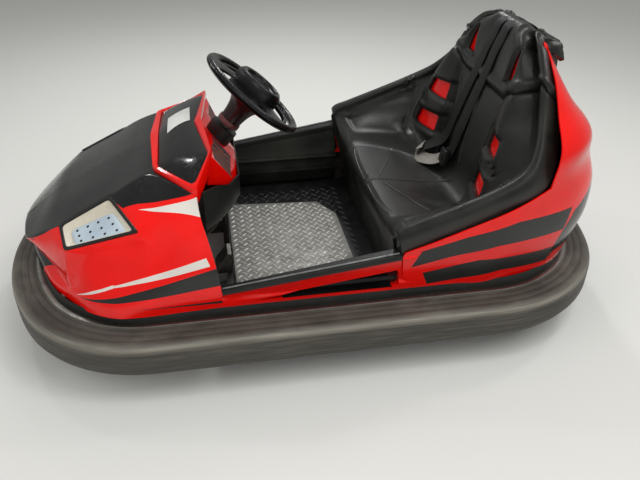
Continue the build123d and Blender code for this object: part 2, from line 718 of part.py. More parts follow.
def drive_pieces():
    """Swivelling drive unit: motor on top, fork, tyre and hub below."""
    crown = 2 * DRIVE_TYRE_RADIUS + CROWN_GAP
    fork_y = DRIVE_TYRE_WIDTH / 2 + FORK_GAP
    fork = Pos(DRIVE_X, 0, crown + FORK_PLATE / 2) * Cylinder(MOTOR_RADIUS - 4, FORK_PLATE)
    for side in (-1, 1):
        y = sorted((side * fork_y, side * (fork_y + FORK_PLATE)))
        fork += box_between((DRIVE_X - 30, DRIVE_X + 30), y, (DRIVE_TYRE_RADIUS - 22, crown))
    axle_end = fork_y + FORK_PLATE + 6
    fork += cylinder_between((DRIVE_X, -axle_end, DRIVE_TYRE_RADIUS), (DRIVE_X, axle_end, DRIVE_TYRE_RADIUS),
                             AXLE_RADIUS)
    can_bottom = crown + FORK_PLATE
    motor = Pos(DRIVE_X, 0, (can_bottom + MOTOR_TOP) / 2) * Cylinder(MOTOR_RADIUS, MOTOR_TOP - can_bottom)
    motor += Pos(DRIVE_X, 0, CARRIER_TOP + SEAT_GAP + FLANGE_HEIGHT / 2) * Cylinder(
        MOTOR_RADIUS + MOTOR_FLANGE, FLANGE_HEIGHT)
    yoke_height = COUPLING_Z - 12 - MOTOR_TOP + 8
    motor += Pos(DRIVE_X, 0, MOTOR_TOP + yoke_height / 2 - 8) * Cylinder(22, yoke_height + 0.01)
    carrier = Pos(DRIVE_X, 0, CARRIER_TOP - CARRIER_PLATE / 2) * Cylinder(CARRIER_RADIUS, CARRIER_PLATE)
    post_y = RAIL_Y - 8
    for along in (-70, 70):
        for side in (-1, 1):
            y = (side * post_y - CARRIER_POST / 2, side * post_y + CARRIER_POST / 2)
            carrier += box_between((DRIVE_X + along - CARRIER_POST / 2, DRIVE_X + along + CARRIER_POST / 2), y,
                                   (FLOOR_Z, CARRIER_TOP - CARRIER_PLATE))
    carrier -= Pos(DRIVE_X, 0, CARRIER_TOP) * Cylinder(MOTOR_RADIUS + SEAT_GAP, 60)
    return {
        "drive_fork": fork,
        "drive_motor": motor,
        "drive_carrier": carrier,
        "drive_tyre": tyre(DRIVE_TYRE_RADIUS, DRIVE_HUB_RADIUS, DRIVE_TYRE_WIDTH, DRIVE_X, 0),
        "drive_hub": hub(DRIVE_TYRE_RADIUS, DRIVE_HUB_RADIUS, DRIVE_TYRE_WIDTH, DRIVE_X, 0),
    }


def rear_axle_carriers():
    """A pair of plates each side that hold the rear axle pins."""
    carriers = None
    for side in (-1, 1):
        for off in (-1, 1):
            y = side * REAR_WHEEL_Y + off * (REAR_TYRE_WIDTH / 2 + 10)
            plate = box_between((REAR_WHEEL_X - 26, REAR_WHEEL_X + 26), (y - 3, y + 3),
                                (REAR_TYRE_RADIUS - 22, REAR_TYRE_RADIUS * 2 + 14))
            carriers = plate if carriers is None else carriers + plate
        inner = side * REAR_WHEEL_Y - REAR_TYRE_WIDTH / 2 - 13
        outer = side * REAR_WHEEL_Y + REAR_TYRE_WIDTH / 2 + 13
        top = REAR_TYRE_RADIUS * 2 + 8
        carriers += box_between((REAR_WHEEL_X - 26, REAR_WHEEL_X + 26), (inner, outer), (top, top + 6))
        carriers += cylinder_between((REAR_WHEEL_X, inner, REAR_TYRE_RADIUS),
                                     (REAR_WHEEL_X, outer, REAR_TYRE_RADIUS), AXLE_RADIUS)
        arm = sorted((side * (RAIL_Y - 15), side * REAR_WHEEL_Y))
        carriers += box_between((REAR_WHEEL_X - 26, REAR_WHEEL_X + 26), arm, (top, top + 6))
        leg = sorted((side * (RAIL_Y - 15), side * (RAIL_Y + 15)))
        carriers += box_between((REAR_WHEEL_X - 26, REAR_WHEEL_X + 26), leg, (FLOOR_Z, top + 6))
    return carriers


PEDAL_X = NOSE - 711
PEDAL_Y = 110.0
PEDAL_WIDTH = 70.0


def accelerator_pedal():
    """Foot pedal on the floor in front of the tread plate, left of the drive unit."""
    side = ((PEDAL_X, PAN_TOP), (PEDAL_X + 54, PAN_TOP), (PEDAL_X + 54, 150), (PEDAL_X + 12, 204), (PEDAL_X, 200))
    return side_profile(side, PEDAL_WIDTH / 2, PEDAL_Y)


def toe_board():
    """Upright black plate between the feet and the drive unit, on the far side of the pedal."""
    far = -wide(430)
    board = box_between((PEDAL_X, PEDAL_X + 6), (far, 0), (PAN_TOP, 312))
    return board + box_between((PEDAL_X - 7, PEDAL_X + 6), (far, 0), (PAN_TOP, PAN_TOP + 6))


def main():
    """Builds each piece and writes it to its own file."""
    body = half_loft(FRONT_STATIONS)
    shell = front_shell()
    hood_zone = hood_cutter()
    block, lamp_frame, lamp_lens = lamp_pieces()
    shell = shell - block - mirrored(block)
    tail = side_profile(TAIL_PANEL, WIDTH)
    fairing, panel = fairing_pieces(body)
    console, cover = dash_pieces()
    console -= fairing
    side = side_panel()
    back = back_plate(BACK_HALF, -BACK_THICKNESS, 0)
    bolster = seat_bolster(back)
    rear = rear_shell() - back - bolster - mirrored(bolster)
    bracket = belt_bracket(rear_solid())
    pieces = {
        "bumper_ring": bumper_ring(),
        "bumper_rim": bumper_rim(),
        "chassis_frame": chassis_frame(),
        "floor_pan": floor_pan(),
        "tread_plate": tread_plate(),
        "front_body": shell - hood_zone,
        "hood_panel": shell & hood_zone,
        "fairing_rim": fairing,
        "fairing_panel": panel,
        "dash_console": console,
        "dash_cover": cover,
        "toe_board": toe_board(),
        "seat_cushion": seat_cushion(back),
        "seat_back": seat_back(),
        "headrest": headrest(),
        "seat_belts": seat_belts(bracket),
        "belt_buckle": belt_buckle(),
        "belt_bracket": bracket,
        "headlamp_frames": lamp_frame + mirrored(lamp_frame),
        "headlamp_lenses": lamp_lens + mirrored(lamp_lens),
        "sill_trims": sill_trim() + mirrored(sill_trim()),
        "rear_body": rear - tail,
        "tail_panel": rear & tail,
        "accelerator_pedal": accelerator_pedal(),
        "rear_axle_carriers": rear_axle_carriers(),
    }
    pairs = {"side_panel": side, "inner_sill": inner_sill(), "seat_bolster": bolster}
    for name, piece in pairs.items():
        pieces[name + "_left"] = piece
        pieces[name + "_right"] = mirrored(piece)
    pieces.update(build_steering(console))
    pieces.update(drive_pieces())
    for name, sign in (("left", 1), ("right", -1)):
        y = sign * REAR_WHEEL_Y
        pieces["rear_tyre_" + name] = tyre(REAR_TYRE_RADIUS, REAR_HUB_RADIUS, REAR_TYRE_WIDTH, REAR_WHEEL_X, y)
        pieces["rear_hub_" + name] = hub(REAR_TYRE_RADIUS, REAR_HUB_RADIUS, REAR_TYRE_WIDTH, REAR_WHEEL_X, y)
    os.makedirs("parts", exist_ok=True)
    for name, piece in pieces.items():
        export_step(piece, os.path.join("parts", name + ".step"))


main()
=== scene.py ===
"""Looks of the two-seat bumper car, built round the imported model. Metres, +X to the nose, +Z up."""

from contextlib import contextmanager
from math import atan2, cos, pi, radians, sin, sqrt

import bmesh
import bpy
import numpy as np
from mathutils import Matrix, Vector
from mathutils.bvhtree import BVHTree


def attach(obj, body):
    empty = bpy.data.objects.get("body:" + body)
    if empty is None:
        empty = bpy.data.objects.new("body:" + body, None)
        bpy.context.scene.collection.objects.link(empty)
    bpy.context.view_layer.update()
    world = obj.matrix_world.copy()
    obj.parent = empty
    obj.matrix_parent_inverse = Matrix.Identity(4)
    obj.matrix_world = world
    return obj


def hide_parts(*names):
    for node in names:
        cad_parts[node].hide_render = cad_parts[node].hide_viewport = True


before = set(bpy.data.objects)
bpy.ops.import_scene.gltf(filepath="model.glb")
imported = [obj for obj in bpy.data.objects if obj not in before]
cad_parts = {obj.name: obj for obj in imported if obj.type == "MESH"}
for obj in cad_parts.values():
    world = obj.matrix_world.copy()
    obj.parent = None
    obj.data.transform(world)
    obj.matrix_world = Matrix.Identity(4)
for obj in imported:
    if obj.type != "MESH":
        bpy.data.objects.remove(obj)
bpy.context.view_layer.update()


# Camera at the photograph's place

IMAGE_WIDTH = 640
FOCAL_PIXELS = 699.86
SENSOR_WIDTH = 36.0
CAMERA_PLACE = Vector((0.2979, 2.131, 1.4435))
CAMERA_YAW = -0.1658
CAMERA_PITCH = 0.5441
CAMERA_ROLL = -0.0059


def add_camera():
    """Camera with the photograph's viewing angle."""
    data = bpy.data.cameras.new("camera")
    data.sensor_width = SENSOR_WIDTH
    data.lens = FOCAL_PIXELS / IMAGE_WIDTH * SENSOR_WIDTH
    camera = bpy.data.objects.new("camera", data)
    bpy.context.scene.collection.objects.link(camera)
    level = cos(CAMERA_PITCH)
    ahead = Vector((sin(CAMERA_YAW) * level, -cos(CAMERA_YAW) * level, -sin(CAMERA_PITCH)))
    right = ahead.cross(Vector((0, 0, 1))).normalized()
    up = right.cross(ahead)
    tilted = right * cos(CAMERA_ROLL) + up * sin(CAMERA_ROLL)
    top = tilted.cross(ahead)
    turn = Matrix((tilted, top, -ahead)).transposed()
    camera.matrix_world = Matrix.Translation(CAMERA_PLACE) @ turn.to_4x4()
    bpy.context.scene.camera = camera


add_camera()


# Material helpers. Pattern scales count features in a metre, so 90 is one of 11 mm. The grain of foam,
# plastic and weave is finer than 0.5 mm and would not show, so it is drawn at 0.7 to 2 mm.

def linear(code):
    """Linear colour of an sRGB hex value."""
    channels = [int(code[i:i + 2], 16) / 255 for i in (1, 3, 5)]
    return [c / 12.92 if c <= 0.04045 else ((c + 0.055) / 1.055) ** 2.4 for c in channels] + [1.0]


def add(tree, kind, links=(), stops=(), **settings):
    """Adds a node with its settings and links. A name ending in _ sets an input, others an attribute."""
    node = tree.nodes.new(kind)
    for name, value in settings.items():
        if name.endswith("_"):
            key = name[:-1].replace("_", " ")
            node.inputs[key].default_value = linear(value) if str(value).startswith("#") else value
        else:
            setattr(node, name, value)
    for target, source in links:
        tree.links.new(node.inputs[target], source)
    for i, (position, code) in enumerate(stops):
        band = node.color_ramp.elements
        stop = band[i] if i < len(band) else band.new(position)
        stop.position = position
        stop.color = linear(code)
    return node.outputs


def finish(name, colour, roughness, metallic=0.0):
    """New material; returns it with its tree, its shader's inputs and the object coordinates."""
    material = bpy.data.materials.new(name)
    material.use_nodes = True
    tree = material.node_tree
    inputs = tree.nodes["Principled BSDF"].inputs
    inputs["Base Color"].default_value = linear(colour)
    inputs["Roughness"].default_value = roughness
    inputs["Metallic"].default_value = metallic
    place = add(tree, "ShaderNodeTexCoord")["Object"]
    return material, tree, inputs, place


def feed(tree, inputs, **sources):
    """Links outputs to the shader; Base_Color stands for its input Base Color."""
    for name, source in sources.items():
        tree.links.new(inputs[name.replace("_", " ")], source)


def gel_coat(name, colour, shade, roughness=0.13, dust=0.16):
    """Polyester gel coat: a deep even colour with a wet gloss, faint polishing waves and a film of dust."""
    material, tree, inputs, place = finish(name, colour, roughness)
    cloud = add(tree, "ShaderNodeTexNoise", [("Vector", place)], Scale_=9.0, Detail_=5.0)["Fac"]
    tint = add(tree, "ShaderNodeValToRGB", [("Fac", cloud)], [(0.40, colour), (0.72, shade)])["Color"]
    film = add(tree, "ShaderNodeTexNoise", [("Vector", place)], Scale_=90.0, Detail_=6.0,
               Roughness_=0.7)["Fac"]
    gloss = add(tree, "ShaderNodeMapRange", [("Value", film)], From_Min_=0.42, From_Max_=0.72,
                To_Min_=roughness, To_Max_=roughness + dust)["Result"]
    wave = add(tree, "ShaderNodeTexNoise", [("Vector", place)], Scale_=16.0, Detail_=1.0)["Fac"]
    bump = add(tree, "ShaderNodeBump", [("Height", wave)], Distance_=0.0005, Strength_=0.3)["Normal"]
    feed(tree, inputs, Base_Color=tint, Roughness=gloss, Normal=bump)
    return material


def grained(name, colour, worn, roughness, grain, depth):
    """Moulded plastic, foam skin or rubber: fine grain, and paler rubbed patches."""
    material, tree, inputs, place = finish(name, colour, roughness)
    cloud = add(tree, "ShaderNodeTexNoise", [("Vector", place)], Scale_=7.0, Detail_=8.0,
                Roughness_=0.62)["Fac"]
    tint = add(tree, "ShaderNodeValToRGB", [("Fac", cloud)], [(0.42, colour), (0.78, worn)])["Color"]
    cell = add(tree, "ShaderNodeTexVoronoi", [("Vector", place)], Scale_=grain)["Distance"]
    bump = add(tree, "ShaderNodeBump", [("Height", cell)], Distance_=depth, Strength_=0.5)["Normal"]
    gloss = add(tree, "ShaderNodeMapRange", [("Value", cloud)], From_Min_=0.3, From_Max_=0.7,
                To_Min_=roughness - 0.08, To_Max_=roughness + 0.12)["Result"]
    feed(tree, inputs, Base_Color=tint, Roughness=gloss, Normal=bump)
    return material


def brushed(name, colour, worn, roughness, metallic=1.0):
    """Bare or painted metal with scuffs and a streaky surface."""
    material, tree, inputs, place = finish(name, colour, roughness, metallic)
    cloud = add(tree, "ShaderNodeTexNoise", [("Vector", place)], Scale_=26.0, Detail_=7.0,
                Roughness_=0.7)["Fac"]
    tint = add(tree, "ShaderNodeValToRGB", [("Fac", cloud)], [(0.4, colour), (0.68, worn)])["Color"]
    gloss = add(tree, "ShaderNodeMapRange", [("Value", cloud)], From_Min_=0.3, From_Max_=0.7,
                To_Min_=roughness - 0.08, To_Max_=roughness + 0.15)["Result"]
    bump = add(tree, "ShaderNodeBump", [("Height", cloud)], Distance_=0.0004, Strength_=0.4)["Normal"]
    feed(tree, inputs, Base_Color=tint, Roughness=gloss, Normal=bump)
    return material


def ring_rubber():
    """Bumper rubber: dull extruded rubber, scuffed in long streaks and paler along its upper edge."""
    material, tree, inputs, place = finish("bumper_rubber", "#45423d", 0.62)
    streak = add(tree, "ShaderNodeMapping", [("Vector", place)], Scale_=(1.6, 1.6, 34.0))["Vector"]
    scuff = add(tree, "ShaderNodeTexNoise", [("Vector", streak)], Scale_=3.2, Detail_=8.0,
                Roughness_=0.66)["Fac"]
    tint = add(tree, "ShaderNodeValToRGB", [("Fac", scuff)],
               [(0.32, "#37352f"), (0.52, "#4c4943"), (0.74, "#69655c")])["Color"]
    height = add(tree, "ShaderNodeSeparateXYZ", [("Vector", place)])["Z"]
    # Paler in a band along the rounded upper edge, broken up by the scuffs
    below = add(tree, "ShaderNodeMapRange", [("Value", height)], From_Min_=0.186, From_Max_=0.203)["Result"]
    above = add(tree, "ShaderNodeMapRange", [("Value", height)], From_Min_=0.2150, From_Max_=0.205)["Result"]
    edge = add(tree, "ShaderNodeMath", [(0, below), (1, above)], operation="MULTIPLY")["Value"]
    worn = add(tree, "ShaderNodeMath", [(0, edge), (1, scuff)], operation="MULTIPLY")["Value"]
    mixed = add(tree, "ShaderNodeMixRGB", [("Fac", worn), ("Color1", tint)], Color2_="#a8a397")
    grain = add(tree, "ShaderNodeTexNoise", [("Vector", place)], Scale_=420.0, Detail_=3.0)["Fac"]
    bump = add(tree, "ShaderNodeBump", [("Height", grain)], Distance_=0.0006, Strength_=0.5)["Normal"]
    feed(tree, inputs, Base_Color=mixed["Color"], Normal=bump)
    return material


# Gel coat sprayed into a polished mould: deep even colour and a wet gloss under a film of dust
RED = gel_coat("red_gel_coat", "#f40a02", "#e60801")
BLACK = gel_coat("black_gel_coat", "#0a0b0b", "#161716", 0.1, 0.26)
WHITE = gel_coat("white_stripe", "#e4ded6", "#d8d1c8", 0.28)
# Dark stripe paint, also used as painted shade under the front's low crease
DARK_STRIPE_AND_SHADE = gel_coat("dark_stripe_and_painted_shade", "#1d1e1d", "#272725", 0.3)
# Bare glass-fibre laminate behind the gel coat: dull, rough and brownish
INSIDE = grained("bare_moulding_inside", "#2a1613", "#3a2420", 0.7, 300.0, 0.0006)
# Self-skinning foam: fine grain from the mould, a soft sheen, paler where it is rubbed
FOAM = grained("seat_foam_skin", "#161715", "#2b2b27", 0.36, 700.0, 0.0004)
# Piping greyer and paler than the foam: a painted highlight along the welts
PIPING_HIGHLIGHT = grained("seat_piping_painted_highlight", "#34342f", "#55554d", 0.3, 900.0, 0.0002)
# Moulded plastic trim: satin black with a fine texture; the same black fills the gap above the bumper as
# painted shade
TRIM_AND_SHADE = grained("black_trim_and_painted_shade", "#121312", "#252623", 0.42, 1200.0, 0.0003)
# Rubber: dull black that scuffs grey
RUBBER = ring_rubber()
TYRE = grained("wheel_rubber", "#1c1c1b", "#333230", 0.75, 600.0, 0.0006)
# Woven polyester belt: matt black, pale and rough where the weave is rubbed
WEB = grained("belt_web", "#131413", "#262624", 0.6, 1500.0, 0.0004)
WORN_WEB = grained("rubbed_belt_web", "#8f8d84", "#b7b5ac", 0.7, 900.0, 0.0006)
# Painted, bare and plated metal: satin black with bared spots, bright, or dull grey
STEEL = brushed("painted_steel", "#262727", "#4a443c", 0.5, 0.3)
BRIGHT = brushed("bright_metal", "#a9a8a2", "#8d8a82", 0.34)
ZINC = brushed("dull_zinc_plate", "#4b4940", "#2d2b25", 0.55, 0.5)
# Rolled tread plate: grey sheet, paler on top of its bars where shoes rub them
TREAD = brushed("tread_aluminium", "#989792", "#74726c", 0.52, 0.2)
TREAD_TOPS = brushed("rubbed_tread_bars", "#dedcd6", "#bab8b1", 0.34, 0.3)
FLOOR_BLACK = brushed("black_tread_floor", "#1c1d1d", "#303130", 0.42, 0.1)
FLOOR_BARS = brushed("rubbed_floor_bars", "#565757", "#3a3b3b", 0.28, 0.4)
# Cast alloy: grey with a slightly rough skin
CAST = brushed("cast_alloy", "#8b8983", "#5f5c55", 0.45)
# Glossy paint and plastic of the small pieces
MAROON = gel_coat("maroon_column", "#241011", "#170a0b", 0.2)
PLATE = gel_coat("blank_plate", "#e0e0dc", "#d2d2cd", 0.35)
REFLECTOR = gel_coat("lamp_reflector", "#d8d0bd", "#c9c1ae", 0.22)
LED = gel_coat("lamp_led_plate", "#bccbd6", "#aab9c6", 0.3)


# Mesh helpers

def curve(points, places):
    """Smooth line through the points, read at places counted in spans from the first point."""
    p = np.asarray(points, float)
    ends = np.concatenate((2 * p[:1] - p[1:2], p, 2 * p[-1:] - p[-2:-1]))
    places = np.asarray(places, float)
    span = np.minimum(places.astype(int), len(p) - 2)
    t = (places - span).reshape((-1,) + (1,) * (p.ndim - 1))
    a, b, c, d = (ends[span + k] for k in range(4))
    return 0.5 * (2 * b + (c - a) * t + (2 * a - 5 * b + 4 * c - d) * t ** 2
                  + (3 * b - a - 3 * c + d) * t ** 3)


def catmull(points, steps):
    """Smooth line through the points, with even steps in each span."""
    spans = len(points) - 1
    return curve(points, np.linspace(0, spans, spans * steps + 1))


# How much of a side a rounded corner may take: of a closed outline, and of a line
CORNER_SHARE = 0.45
RUN_SHARE = 0.48


def bend(start, corner, end, places):
    """Points of a smooth turn round a corner, at places from 0 to 1."""
    return [start * (1 - t) ** 2 + corner * 2 * t * (1 - t) + end * t ** 2 for t in places]


def softened(outline, reach, places=(0, 0.33, 0.67, 1)):
    """Closed outline with its corners rounded; reach is how far from the corner each turn starts."""
    p = [np.array(v, float) for v in outline]
    line = []
    for i, here in enumerate(p):
        before, after = p[i - 1] - here, p[(i + 1) % len(p)] - here
        start = here + before * min(reach / np.linalg.norm(before), CORNER_SHARE)
        end = here + after * min(reach / np.linalg.norm(after), CORNER_SHARE)
        line += bend(start, here, end, places)
    return line


def corner_ways(outline, i):
    """Unit ways from a corner of a closed outline to its neighbours, and how far apart they point."""
    here = outline[i]
    back, on = outline[i - 1] - here, outline[(i + 1) % len(outline)] - here
    back, on = back / np.linalg.norm(back), on / np.linalg.norm(on)
    return back, on, np.linalg.norm(np.cross(back, on))


def outside(points, a, b):
    """Distance from a convex outline, negative inside."""
    turn = sum(p[0] * q[1] - q[0] * p[1] for p, q in zip(points, points[1:] + points[:1]))
    worst = np.full(np.shape(a), -np.inf)
    for p, q in zip(points, points[1:] + points[:1]):
        dx, dy = q[0] - p[0], q[1] - p[1]
        side = ((a - p[0]) * dy - (b - p[1]) * dx) / sqrt(dx ** 2 + dy ** 2)
        worst = np.maximum(worst, side if turn > 0 else -side)
    return worst


def fading(gap, width):
    """One where the gap is nil or less, falling smoothly to zero at the width."""
    t = np.clip(1 - gap / width, 0, 1)
    return t * t * (3 - 2 * t)


def rounded(points, radii, runs, turn):
    """Straight runs with rounded corners. Any line of the same length gives as many points."""
    p = np.asarray(points, float)
    radii = np.broadcast_to(radii, len(p) - 2)
    start = p[0]
    out = []
    for i, radius in enumerate(radii, 1):
        before, after = p[i - 1] - p[i], p[i + 1] - p[i]
        a = p[i] + before * min(radius / max(np.linalg.norm(before), NIL), RUN_SHARE)
        b = p[i] + after * min(radius / max(np.linalg.norm(after), NIL), RUN_SHARE)
        out += [start + (a - start) * t for t in np.arange(runs) / runs]
        out += bend(a, p[i], b, np.arange(turn) / turn)
        start = b
    out += [start + (p[-1] - start) * t for t in np.arange(runs + 1) / runs]
    return np.array(out)


def both_sides(rows):
    """Adds the other half of rows that start on the centre line."""
    rows = np.asarray(rows, float)
    return np.concatenate((rows[:, :0:-1] * (1, -1, 1), rows), axis=1)


def sheet(name, grid, closed=False, round_across=False):
    """Mesh object from a grid of points; closed joins the last row to the first."""
    grid = np.asarray(grid, float)
    n, m = grid.shape[:2]
    ups = range(n if closed else n - 1)
    overs = range(m if round_across else m - 1)
    faces = [(i * m + j, i * m + (j + 1) % m, (i + 1) % n * m + (j + 1) % m, (i + 1) % n * m + j)
             for i in ups for j in overs]
    return solid(name, grid.reshape(-1, 3), faces)


def solid(name, points, faces):
    """Mesh object from points and faces, merged, with its faces turned outwards."""
    mesh = bpy.data.meshes.new(name)
    mesh.from_pydata([tuple(p) for p in points], [], faces)
    obj = bpy.data.objects.new(name, mesh)
    bpy.context.scene.collection.objects.link(obj)
    tidy(obj)
    return obj


MERGE = 1e-5
NIL = 1e-6


@contextmanager
def editing(obj):
    """Opens the mesh of a piece for editing and writes it back."""
    bm = bmesh.new()
    bm.from_mesh(obj.data)
    yield bm
    bm.to_mesh(obj.data)
    bm.free()


def tidy(obj):
    """Merges doubled points and turns faces outwards."""
    with editing(obj) as bm:
        bmesh.ops.remove_doubles(bm, verts=bm.verts, dist=MERGE)
        bmesh.ops.dissolve_degenerate(bm, edges=bm.edges, dist=NIL)
        bmesh.ops.recalc_face_normals(bm, faces=bm.faces)


def settle(obj):
    """Applies the modifiers, leaving a plain mesh."""
    graph = bpy.context.evaluated_depsgraph_get()
    mesh = bpy.data.meshes.new_from_object(obj.evaluated_get(graph))
    obj.modifiers.clear()
    obj.data = mesh
    return obj


def walled(obj, thickness, inner_slot=None):
    """Gives a skin a wall on its inner side."""
    wall = obj.modifiers.new("wall", "SOLIDIFY")
    wall.thickness = thickness
    wall.offset = -1
    if inner_slot is not None:
        wall.material_offset = inner_slot
    return settle(obj)


def bevelled(obj, width):
    """Rounds the sharp edges."""
    bevel = obj.modifiers.new("bevel", "BEVEL")
    bevel.width = width
    bevel.segments = 2
    bevel.angle_limit = radians(40)
    return settle(obj)


def cut_out(obj, slot):
    """Takes away the faces that have a slot."""
    with editing(obj) as bm:
        bmesh.ops.delete(bm, geom=[f for f in bm.faces if f.material_index == slot], context="FACES")


def facing_out(obj, middle):
    """Flips an open skin whose faces look towards a middle point."""
    middle = Vector(middle)
    total = sum((f.center - middle).dot(f.normal) * f.area for f in obj.data.polygons)
    if total < 0:
        obj.data.flip_normals()


def mark(obj, view, outline, slot, wanted=lambda face: True):
    """Cuts a convex outline, seen along one axis, into the skin and gives the faces inside a slot."""
    a, b = view
    low = [min(p[k] for p in outline) for k in (0, 1)]
    high = [max(p[k] for p in outline) for k in (0, 1)]

    def near(face):
        spread = [[v.co[axis] for v in face.verts] for axis in view]
        return all(min(s) < high[k] and max(s) > low[k] for k, s in enumerate(spread)) and wanted(face)

    edges = list(zip(outline, outline[1:] + outline[:1]))
    turn = sum(p[0] * q[1] - q[0] * p[1] for p, q in edges)
    planes = []
    for p, q in edges:
        point, normal = Vector(), Vector()
        point[a], point[b] = p
        normal[a], normal[b] = (q[1] - p[1], p[0] - q[0]) if turn > 0 else (p[1] - q[1], q[0] - p[0])
        planes.append((point, normal.normalized()))
    with editing(obj) as bm:
        for point, normal in planes:
            faces = [f for f in bm.faces if near(f)]
            touched = list({v for f in faces for v in f.verts}) + list({e for f in faces for e in f.edges})
            bmesh.ops.bisect_plane(bm, geom=touched + faces, dist=NIL, plane_co=point, plane_no=normal)
        for face in bm.faces:
            centre = face.calc_center_median()
            if near(face) and all((centre - point).dot(normal) < NIL for point, normal in planes):
                face.material_index = slot


def declare(obj, materials, replaces=(), sharp=38, body="chassis"):
    """Gives a finished piece its materials, smooth shading and its body, and hides the nodes that it
    replaces.
    """
    slots = [p.material_index for p in obj.data.polygons]
    obj.data.materials.clear()
    for material in materials:
        obj.data.materials.append(material)
    obj.data.polygons.foreach_set("material_index", slots)
    obj.data.shade_smooth()
    obj.data.set_sharp_from_angle(angle=radians(sharp))
    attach(obj, body)
    if replaces:
        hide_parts(*replaces)


def joined(name, parts):
    """Joins mesh objects into one."""
    bm = bmesh.new()
    for part in parts:
        bm.from_mesh(part.data)
        mesh = part.data
        bpy.data.objects.remove(part)
        bpy.data.meshes.remove(mesh)
    mesh = bpy.data.meshes.new(name)
    bm.to_mesh(mesh)
    bm.free()
    obj = bpy.data.objects.new(name, mesh)
    bpy.context.scene.collection.objects.link(obj)
    return obj


def mirrored(obj, name):
    """Copy of a piece on the other side of the car."""
    copy = obj.copy()
    copy.data = obj.data.copy()
    copy.name = name
    bpy.context.scene.collection.objects.link(copy)
    copy.data.transform(Matrix.Diagonal((1, -1, 1, 1)))
    copy.data.flip_normals()
    return copy


def pair(left, materials, left_nodes=(), right_nodes=(), sharp=38):
    """Declares a left-hand piece and its mirror image, with the nodes that each replaces."""
    right = mirrored(left, left.name.replace("left", "right"))
    declare(left, materials, left_nodes, sharp)
    declare(right, materials, right_nodes, sharp)


def tube(name, path, radius, sides, squash=1.0, up=(0, 0, 1)):
    """Tube along a path, with closed ends; squash flattens it in the up direction."""
    path = np.asarray(path, float)
    ahead = np.gradient(path, axis=0)
    ahead /= np.linalg.norm(ahead, axis=1)[:, None]
    side = np.cross(ahead, up)
    side /= np.linalg.norm(side, axis=1)[:, None]
    top = np.cross(side, ahead)
    turns = (np.arange(sides) / sides * 2 * pi)[None, :, None]
    ring_points = (side[:, None] * np.cos(turns) + top[:, None] * np.sin(turns) * squash) * radius
    obj = sheet(name, path[:, None] + ring_points, round_across=True)
    with editing(obj) as bm:
        bmesh.ops.holes_fill(bm, edges=[e for e in bm.edges if e.is_boundary])
        bmesh.ops.recalc_face_normals(bm, faces=bm.faces)
    return obj


def box(name, low, high, bevel):
    """Block between two corners with rounded edges."""
    corners = [(x, y, z) for x in (low[0], high[0]) for y in (low[1], high[1]) for z in (low[2], high[2])]
    faces = [(0, 1, 3, 2), (4, 6, 7, 5), (0, 4, 5, 1), (2, 3, 7, 6), (0, 2, 6, 4), (1, 5, 7, 3)]
    return bevelled(solid(name, corners, faces), bevel)


UNIT_SHAPES = {
    "lens": ("GeometryNodeMeshUVSphere", {"Segments_": 8, "Rings_": 4, "Radius_": 1.0}),
    "stud": ("GeometryNodeMeshCone",
             {"Vertices_": 10, "Radius_Top_": 0.62, "Radius_Bottom_": 1.0, "Depth_": 1.0}),
}


def repeat(name, spots, shape, size, material):
    """One small shape at every spot; a spot is its place, the way it points, and its spin."""
    tree = bpy.data.node_groups.new(name, "GeometryNodeTree")
    tree.interface.new_socket("Geometry", in_out="OUTPUT", socket_type="NodeSocketGeometry")
    tree.interface.new_socket("Geometry", in_out="INPUT", socket_type="NodeSocketGeometry")
    for label in ("Length", "Width", "Rise"):
        tree.interface.new_socket(label, in_out="INPUT", socket_type="NodeSocketFloat")
    given = add(tree, "NodeGroupInput")
    turn = add(tree, "GeometryNodeInputNamedAttribute", data_type="FLOAT_VECTOR", Name_="turn")["Attribute"]
    kind, settings = UNIT_SHAPES[shape]
    unit = add(tree, kind, **settings)["Mesh"]
    full = add(tree, "ShaderNodeCombineXYZ",
               [("X", given["Length"]), ("Y", given["Width"]), ("Z", given["Rise"])])["Vector"]
    placed = add(tree, "GeometryNodeInstanceOnPoints", [("Points", given["Geometry"]), ("Instance", unit),
                                                        ("Rotation", turn), ("Scale", full)])["Instances"]
    real = add(tree, "GeometryNodeRealizeInstances", [("Geometry", placed)])["Geometry"]
    painted = add(tree, "GeometryNodeSetMaterial", [("Geometry", real)], Material_=material)["Geometry"]
    add(tree, "NodeGroupOutput", [("Geometry", painted)])
    turns = []
    for _, way, *spin in spots:
        lean = Vector((0, 0, 1)).rotation_difference(Vector(way)).to_matrix()
        turns += list((lean @ Matrix.Rotation(spin[0] if spin else 0.0, 3, "Z")).to_euler())
    mesh = bpy.data.meshes.new(name)
    mesh.from_pydata([tuple(spot[0]) for spot in spots], [], [])
    mesh.attributes.new("turn", "FLOAT_VECTOR", "POINT").data.foreach_set("vector", turns)
    obj = bpy.data.objects.new(name, mesh)
    bpy.context.scene.collection.objects.link(obj)
    modifier = obj.modifiers.new("repeat", "NODES")
    modifier.node_group = tree
    for socket in tree.interface.items_tree:
        if socket.name in ("Length", "Width", "Rise"):
            modifier[socket.identifier] = size[("Length", "Width", "Rise").index(socket.name)]
    settle(obj)
    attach(obj, "chassis")


# Bumper: plan of tangent arcs, and the sections that run round it

LENGTH = 1.95
WIDTH = 1.204
FRONT_END_RADIUS = 0.804
FRONT_CORNER_RADIUS = 0.431
REAR_END_RADIUS = 0.950
REAR_CORNER_RADIUS = 0.445


